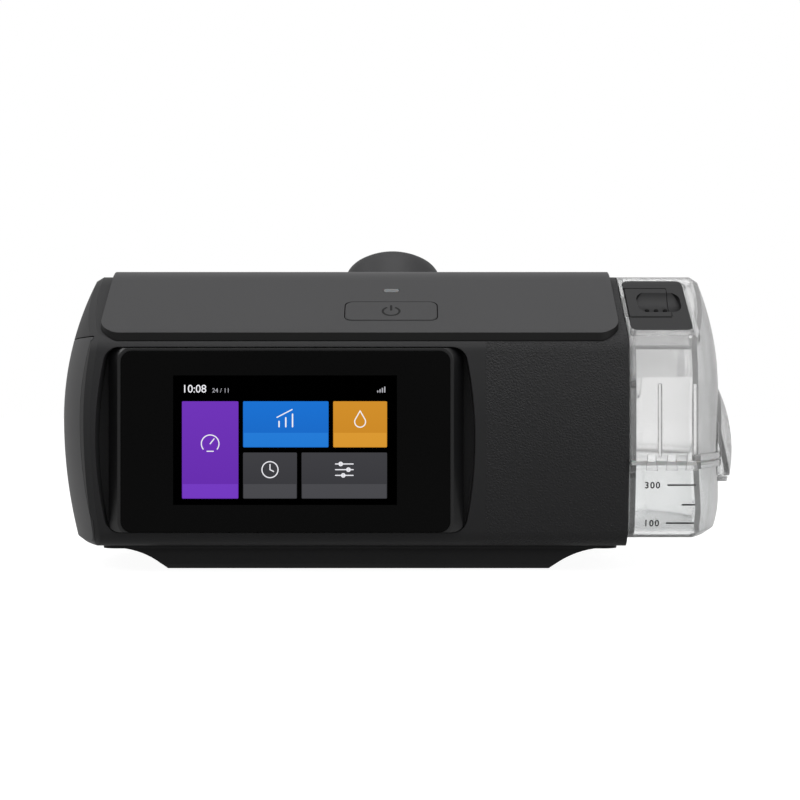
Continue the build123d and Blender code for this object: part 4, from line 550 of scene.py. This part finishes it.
finish_node("power_button", cover_plastic)
print_black = moulded_plastic(
    "black_pad_print", "#040404", "#070707", 0.6, 0.7, pit_mm=0.2, pit_depth_mm=0.004
)
power_sign = bmesh.new()
arc(power_sign, (0, 0), 3.3 * MM, PRINT_LINE, 118, 422)
line(power_sign, (0, 0.9 * MM), (0, 4.3 * MM), PRINT_LINE)
thicken_and_place(power_sign, PRINT, on_slope(-3.5 * MM, 17.6 * MM, KEY_PROUD))
finish_piece("power_sign", power_sign, print_black, "button", "power_button")
pipe_plastic, tree, shader, place = start_material(
    "diffusing_acrylic", IOR=1.49, Roughness=0.4, Subsurface_Weight=0.3, Subsurface_Scale=1.0 * MM
)
clouded_colour(tree, place, shader, "#5c5e60", "#66686a", cloud_mm=2)
finish_node("light_pipe", pipe_plastic)


# ---- Outlet elbow ----------------------------------------------------------------------------------------
# The swivelling elbow, moulded in the cover's grey ABS: a round crown whose rim runs softly into its side, a
# spigot with a seal groove that plugs into the seat, and a stepped cone for the 22 mm hose with a broken rim.
# Its sizes are in millimetres, from its base on the rear slope.
ELBOW_BASE = (-3.4 * MM, 42.652 * MM, 105.95 * MM)
CROWN_RADIUS = 31.0
CROWN_TOP = 29.45
CROWN_STEPS = 16
CROWN_WALL = 2.2
SIDE_RADIUS = 22.5
SIDE_LOW = 2.5
CROWN_RIM_ROUNDING = 4.5
SPIGOT_RADIUS = 18.0
SPIGOT_LOW = -6.1
SEAL_GROOVE = (-4.0, -2.0, 16.5)  # its low and high end and its radius
HOSE_AXIS_HEIGHT = 16.0
HOSE_STEPS = ((12.6, 25.0), (11.0, 42.95))  # radius and end of the collar and of the cone
HOSE_BORE = 9.0
BROKEN_EDGE = 0.8
CUT_PAST = 1.0  # how far a cut runs past the face that it opens
SHARPEST_SMOOTH = math.radians(28)  # edges that turn more than this stay sharp


def turned(outline, roundings=()):
    """A solid turned about Z from its outline in X and Z, with some corners rounded; all in millimetres."""
    shape = bmesh.new()
    corners = [shape.verts.new((x * MM, 0, z * MM)) for x, z in outline]
    for start, end in zip(corners, corners[1:]):
        shape.edges.new((start, end))
    for i, rounding in roundings:
        bmesh.ops.bevel(
            shape,
            geom=[corners[i]],
            affect="VERTICES",
            offset=rounding * MM,
            segments=10,
            profile=0.5,
            material=-1,
        )
    bmesh.ops.spin(
        shape,
        geom=shape.verts[:] + shape.edges[:],
        cent=(0, 0, 0),
        axis=(0, 0, 1),
        angle=math.tau,
        steps=96,
        use_merge=True,
    )
    bmesh.ops.remove_doubles(shape, verts=shape.verts, dist=0.001 * MM)
    bmesh.ops.recalc_face_normals(shape, faces=shape.faces)
    return shape


def crown_outline(inset, low):
    """The crown's outline from its top, round its rim and down its side, or that of its hollow."""
    centre, radius, side = CROWN_TOP - CROWN_RADIUS, CROWN_RADIUS - inset, SIDE_RADIUS - inset
    half_angle = math.asin(side / radius)
    angles = [half_angle * i / CROWN_STEPS for i in range(CROWN_STEPS + 1)]
    arc_points = [(radius * math.sin(angle), centre + radius * math.cos(angle)) for angle in angles]
    return [*arc_points, (side, low)]


def cut_or_joined(shape, *steps):
    """A bmesh with others joined to it or cut from it in turn, each given as an operation and a bmesh."""
    holders = []
    for i, part in enumerate((shape, *(step[1] for step in steps))):
        mesh = bpy.data.meshes.new(f"elbow_step_{i}")
        part.to_mesh(mesh)
        part.free()
        holders.append(bpy.data.objects.new(mesh.name, mesh))
        bpy.context.scene.collection.objects.link(holders[-1])
    for (operation, _), holder in zip(steps, holders[1:]):
        modifier = holders[0].modifiers.new(holder.name, "BOOLEAN")
        modifier.operation = operation
        modifier.solver = "EXACT"
        modifier.object = holder
    bpy.context.view_layer.update()
    evaluated = holders[0].evaluated_get(bpy.context.evaluated_depsgraph_get())
    finished = bpy.data.meshes.new_from_object(evaluated)
    result = bmesh.new()
    result.from_mesh(finished)
    for holder in holders:
        mesh = holder.data
        bpy.data.objects.remove(holder)
        bpy.data.meshes.remove(mesh)
    bpy.data.meshes.remove(finished)
    return result


def along_hose(shape):
    """Turns a shape about Z into one about the hose's axis."""
    way = Matrix.Translation((0, 0, HOSE_AXIS_HEIGHT * MM)) @ Matrix.Rotation(-math.pi / 2, 4, "X")
    bmesh.ops.transform(shape, matrix=way, verts=shape.verts)
    return shape


groove_low, groove_high, groove_radius = SEAL_GROOVE
outside = turned(
    [
        *crown_outline(0, SIDE_LOW),
        (SPIGOT_RADIUS, SIDE_LOW),
        (SPIGOT_RADIUS, groove_high),
        (groove_radius, groove_high),
        (groove_radius, groove_low),
        (SPIGOT_RADIUS, groove_low),
        (SPIGOT_RADIUS, SPIGOT_LOW),
        (0, SPIGOT_LOW),
    ],
    roundings=[(CROWN_STEPS, CROWN_RIM_ROUNDING), (CROWN_STEPS + 1, BROKEN_EDGE)],
)
(collar_radius, collar_end), (cone_radius, cone_end) = HOSE_STEPS
hose_fitting = along_hose(
    turned(
        [
            (0, 0),
            (collar_radius, 0),
            (collar_radius, collar_end),
            (cone_radius, collar_end),
            (cone_radius, cone_end),
            (0, cone_end),
        ],
        roundings=[(2, 1.0), (4, BROKEN_EDGE)],
    )
)
hollow = turned([*crown_outline(CROWN_WALL, SIDE_LOW + CROWN_WALL), (0, SIDE_LOW + CROWN_WALL)])
spigot_bore_radius = SPIGOT_RADIUS - CROWN_WALL
spigot_bore = turned(
    [
        (0, SPIGOT_LOW - CUT_PAST),
        (spigot_bore_radius, SPIGOT_LOW - CUT_PAST),
        (spigot_bore_radius, SIDE_LOW + 5),
        (0, SIDE_LOW + 5),
    ]
)
bore_end = cone_end + CUT_PAST
hose_bore = along_hose(turned([(0, 0), (HOSE_BORE, 0), (HOSE_BORE, bore_end), (0, bore_end)]))
elbow = cut_or_joined(
    outside,
    ("UNION", hose_fitting),
    ("DIFFERENCE", hollow),
    ("DIFFERENCE", spigot_bore),
    ("DIFFERENCE", hose_bore),
)
tilt = Matrix.Translation(ELBOW_BASE) @ Matrix.Rotation(-SLOPE, 4, "X")
bmesh.ops.transform(elbow, matrix=tilt, verts=elbow.verts)
for edge in elbow.edges:
    edge.smooth = edge.is_manifold and edge.calc_face_angle(0) < SHARPEST_SMOOTH
finish_piece("elbow", elbow, cover_plastic, "elbow", "outlet_elbow", "outlet_elbow", smooth=True)


# ---- Humidifier chamber ----------------------------------------------------------------------------------
# Tub, lid and air guide are injection-moulded in clear polycarbonate, with a stainless heat plate in the
# tub's floor. A black latch plate is set in the lid's slope, and the heater plate below is aluminium.
# Painted shade for clear walls seen along their length.
CLEAR_EDGE_SHADE = "#8a8d8d"  # what clear walls look like along their length


def clear_plastic(name, tint, roughness):
    """Clear polycarbonate with a light milky haze, and painted shade: greyer where its walls are seen along
    their length.
    """
    material, tree, shader, place = start_material(name, IOR=1.45, Transmission_Weight=0.9)
    # Painted shade: the colour turns grey where the walls are seen edge-on, standing in for how thick clear
    # walls look along their length.
    edge = add(tree, "ShaderNodeLayerWeight", {"Blend": 0.5})
    grazing = add(tree, "ShaderNodeMapRange", {0: edge.outputs["Facing"], 1: 0.55, 2: 1.0})
    depth = add(
        tree,
        "ShaderNodeMix",
        {0: grazing.outputs[0], 6: linear(tint), 7: linear(CLEAR_EDGE_SHADE)},
        data_type="RGBA",
    )
    tree.links.new(depth.outputs[2], shader.inputs["Base Color"])
    haze = add(tree, "ShaderNodeTexNoise", {"Vector": place, "Scale": 1 / (14 * MM), "Detail": 4.0})
    spread_roughness(tree, haze.outputs[0], shader, roughness, roughness + 0.06)
    flow = add(tree, "ShaderNodeTexNoise", {"Vector": place, "Scale": 1 / (22 * MM), "Detail": 1.0})
    raise_surface(tree, shader, flow.outputs[0], depth_mm=0.12, edge_mm=0.6)
    return material


lid_clear = clear_plastic("clear_polycarbonate", "#fafafa", roughness=0.06)
tub_clear = clear_plastic("clear_tub_polycarbonate", "#f5f6f6", roughness=0.04)
latch_plastic = moulded_plastic(
    "black_abs_satin", "#1b1b1c", "#212122", 0.4, 0.5, pit_mm=0.35, pit_depth_mm=0.01
)
stainless = worked_metal("drawn_stainless_steel", "#b3b2af", "#c6c5c2", roughness=0.22, stretch=(1, 6, 1))
heater_metal = worked_metal("brushed_aluminium", "#b9babd", "#cbccce", roughness=0.3, stretch=(8, 1, 1))
copper_track = worked_metal("copper_heating_track", "#a55a2e", "#c0713f", roughness=0.35)
finish_node("water_tub", tub_clear)
for name in ("chamber_lid", "air_guide"):
    finish_node(name, lid_clear)
for name in ("latch_plate", "latch_tongue"):
    finish_node(name, latch_plastic)
for name in ("tub_heat_plate", "lid_hinge_pin"):
    finish_node(name, stainless)
finish_node("heater_plate", heater_metal)
finish_node("heater_element", copper_track)


# ---- Latch grip and slots --------------------------------------------------------------------------------
# Three small studs moulded on the latch tongue give the finger hold. The open slots above and below the tongue,
# which let it bend, are drawn as black films on the plate: painted shadow for the shade inside the slots.
STUD_RADIUS = 0.95 * MM
STUD_SPACING = 3.6 * MM
FIRST_STUD = (98.7 * MM, 25.6 * MM, -2.2 * MM)  # along X, up the slope and out of it
SLOT_LENGTH = 16.4 * MM
SLOT_X = 99.2 * MM
SLOT_SHADOW_FILM = 0.02 * MM
# Near-black for the studs, and painted shadow where it lines the slots.
stud_black_and_slot_shadow = moulded_plastic("black_abs_shadow_line", "#030303", "#050505", 0.7, 0.8, pit_depth_mm=0.005)
studs = bmesh.new()
for i in range(3):
    stud = bmesh.ops.create_uvsphere(studs, u_segments=20, v_segments=12, radius=STUD_RADIUS)["verts"]
    seat = on_slope(FIRST_STUD[0] + STUD_SPACING * i, *FIRST_STUD[1:])
    bmesh.ops.transform(studs, matrix=seat, verts=stud)
finish_piece("latch_studs", studs, stud_black_and_slot_shadow, "tongue", "latch_tongue", smooth=True)
# Painted shadow: a thin black film over each slot, for the shade that falls inside it.
for name, climb, width in (("low", 17.2, 1.3), ("high", 40.25, 0.55)):
    slot = bmesh.new()
    plate(slot, SLOT_LENGTH, width * MM)
    thicken_and_place(slot, SLOT_SHADOW_FILM, on_slope(SLOT_X, climb * MM, SLOT_SHADOW_FILM / 2))
    finish_piece(f"latch_slot_painted_shadow_{name}", slot, stud_black_and_slot_shadow, "lid", "latch_plate")


# ---- Graduations -----------------------------------------------------------------------------------------
# Three pad-printed black lines and two plain numbers on the front of the tub show how much water it holds.
GRADUATION_INK = 0.03 * MM
LINE_WEIGHT = 0.6 * MM
NUMBER_X = 94.6 * MM
NUMBER_HEIGHT = 2.4 * MM
IN_FRONT = -0.3  # a depth from which the tub's front is looked for
UPRIGHT = Matrix.Rotation(math.pi / 2, 4, "X")


def lay_on(piece_name, shape, node, thickness):
    """Sets flat marks drawn in X and Z on the front of a node, so that they follow its surface."""
    for vert in shape.verts:
        start = Vector((vert.co.x, IN_FRONT, vert.co.z))
        hit, spot, *_ = nodes[node].ray_cast(start, Vector((0, 1, 0)))
        if not hit:
            raise RuntimeError(f"{piece_name} is off {node}")
        vert.co.y = spot.y - thickness
    thicken(shape, (0, 1.5 * thickness, 0))


for name, (left, right, height) in {
    "full": (103.4, 114.6, 34.6),
    "half": (109.1, 114.4, 26.9),
    "low": (103.2, 114.2, 19.7),
}.items():
    mark = bmesh.new()
    plate(mark, (right - left) * MM, LINE_WEIGHT)
    bmesh.ops.subdivide_edges(mark, edges=mark.edges[:], cuts=8, use_grid_fill=True)
    bmesh.ops.transform(
        mark, matrix=Matrix.Translation(((left + right) / 2 * MM, 0, height * MM)) @ UPRIGHT, verts=mark.verts
    )
    lay_on(name, mark, "water_tub", GRADUATION_INK)
    finish_piece(f"graduation_{name}", mark, print_black, "tub", "water_tub")

for name, text, height in (("full", "300", 33.4), ("low", "100", 18.5)):
    number = numeral_shape(text, NUMBER_HEIGHT, spacing=1.25, weight=0.08)
    bmesh.ops.transform(
        number, matrix=Matrix.Translation((NUMBER_X, 0, height * MM)) @ UPRIGHT, verts=number.verts
    )
    lay_on(name, number, "water_tub", GRADUATION_INK)
    finish_piece(f"graduation_number_{name}", number, print_black, "tub", "water_tub")


# ---- Studio ----------------------------------------------------------------------------------------------
# A pale table and backdrop, which look white but throw less light on the machine, with more of it from above
# than from the sides, and three soft boxes. The camera stands level with the middle of the machine.
CAMERA_DISTANCE = 791.3 * MM
CAMERA_HEIGHT = 67.5 * MM
CAMERA_LENS = 81.7  # on a 36 mm wide sensor
GLOSS_SHARE = 0.45  # how much of the white surroundings the gloss shows
TABLE_GLOW = 0.95
SKY_LEVEL = 0.18  # light from the horizon
SKY_TOP = 0.66  # and from high up
SKY_TOP_FROM = 0.8  # sine of the height from which the sky is at its brightest
TABLE_RADIUS = 6.0


def seen_directly(tree):
    """1 for what is seen straight or through clear plastic, less by way of gloss, 0 for light on a piece."""
    path = add(tree, "ShaderNodeLightPath")
    gloss = add(
        tree, "ShaderNodeMath", {0: path.outputs["Is Glossy Ray"], 1: GLOSS_SHARE}, operation="MULTIPLY"
    )
    direct = add(
        tree, "ShaderNodeMath", {0: path.outputs["Is Camera Ray"], 1: gloss.outputs[0]}, operation="MAXIMUM"
    )
    through = path.outputs["Is Transmission Ray"]
    seen = add(tree, "ShaderNodeMath", {0: direct.outputs[0], 1: through}, operation="MAXIMUM")
    return seen.outputs[0]


table_mesh = bpy.data.meshes.new("table_top")
shape = bmesh.new()
bmesh.ops.create_circle(shape, cap_ends=True, segments=96, radius=TABLE_RADIUS)
shape.to_mesh(table_mesh)
shape.free()
table_top = bpy.data.objects.new("table_top", table_mesh)
bpy.context.scene.collection.objects.link(table_top)
table_white, tree, shader, _ = start_material("matt_white_table", Roughness=0.9, Specular_IOR_Level=0.1)
shader.inputs["Base Color"].default_value = linear("#7c7c7c")
shader.inputs["Emission Color"].default_value = (1, 1, 1, 1)
glow = add(tree, "ShaderNodeMath", {0: seen_directly(tree), 1: TABLE_GLOW}, operation="MULTIPLY")
tree.links.new(glow.outputs[0], shader.inputs["Emission Strength"])
table_mesh.materials.append(table_white)

world = bpy.data.worlds.new("studio_air")
bpy.context.scene.world = world
world.use_nodes = True
tree = world.node_tree
tree.nodes.clear()
ray = add(tree, "ShaderNodeSeparateXYZ", {0: add(tree, "ShaderNodeTexCoord").outputs["Generated"]})
lighting = add(
    tree, "ShaderNodeMapRange", {0: ray.outputs["Z"], 1: 0.0, 2: SKY_TOP_FROM, 3: SKY_LEVEL, 4: SKY_TOP}
)
air = add(tree, "ShaderNodeMapRange", {0: seen_directly(tree), 3: lighting.outputs[0], 4: 1.0})
sky = add(tree, "ShaderNodeBackground", {"Color": (1, 1, 1, 1), "Strength": air.outputs[0]})
add(tree, "ShaderNodeOutputWorld", {"Surface": sky.outputs[0]})


def soft_box(name, centre, target, size, power):
    """A square soft box that points from its centre to a target."""
    lamp = bpy.data.lights.new(name, "AREA")
    lamp.shape = "SQUARE"
    lamp.size = size
    lamp.energy = power
    holder = bpy.data.objects.new(name, lamp)
    bpy.context.scene.collection.objects.link(holder)
    holder.location = centre
    holder.rotation_euler = (Vector(target) - Vector(centre)).to_track_quat("-Z", "Y").to_euler()


soft_box("top_box", (0.0, -0.45, 1.15), (0, 0, 0.08), size=1.0, power=8)
soft_box("left_box", (-0.95, -0.15, 0.85), (0, 0, 0.06), size=0.5, power=3)
soft_box("right_box", (0.85, -0.85, 0.7), (0, 0, 0.06), size=0.8, power=5)

lens = bpy.data.cameras.new("camera")
lens.lens = CAMERA_LENS
lens.sensor_width = 36.0
camera = bpy.data.objects.new("camera", lens)
bpy.context.scene.collection.objects.link(camera)
camera.location = (0, -CAMERA_DISTANCE, CAMERA_HEIGHT)
camera.rotation_euler = (math.pi / 2, 0, 0)
bpy.context.scene.camera = camera
bpy.context.scene.view_settings.view_transform = "Standard"
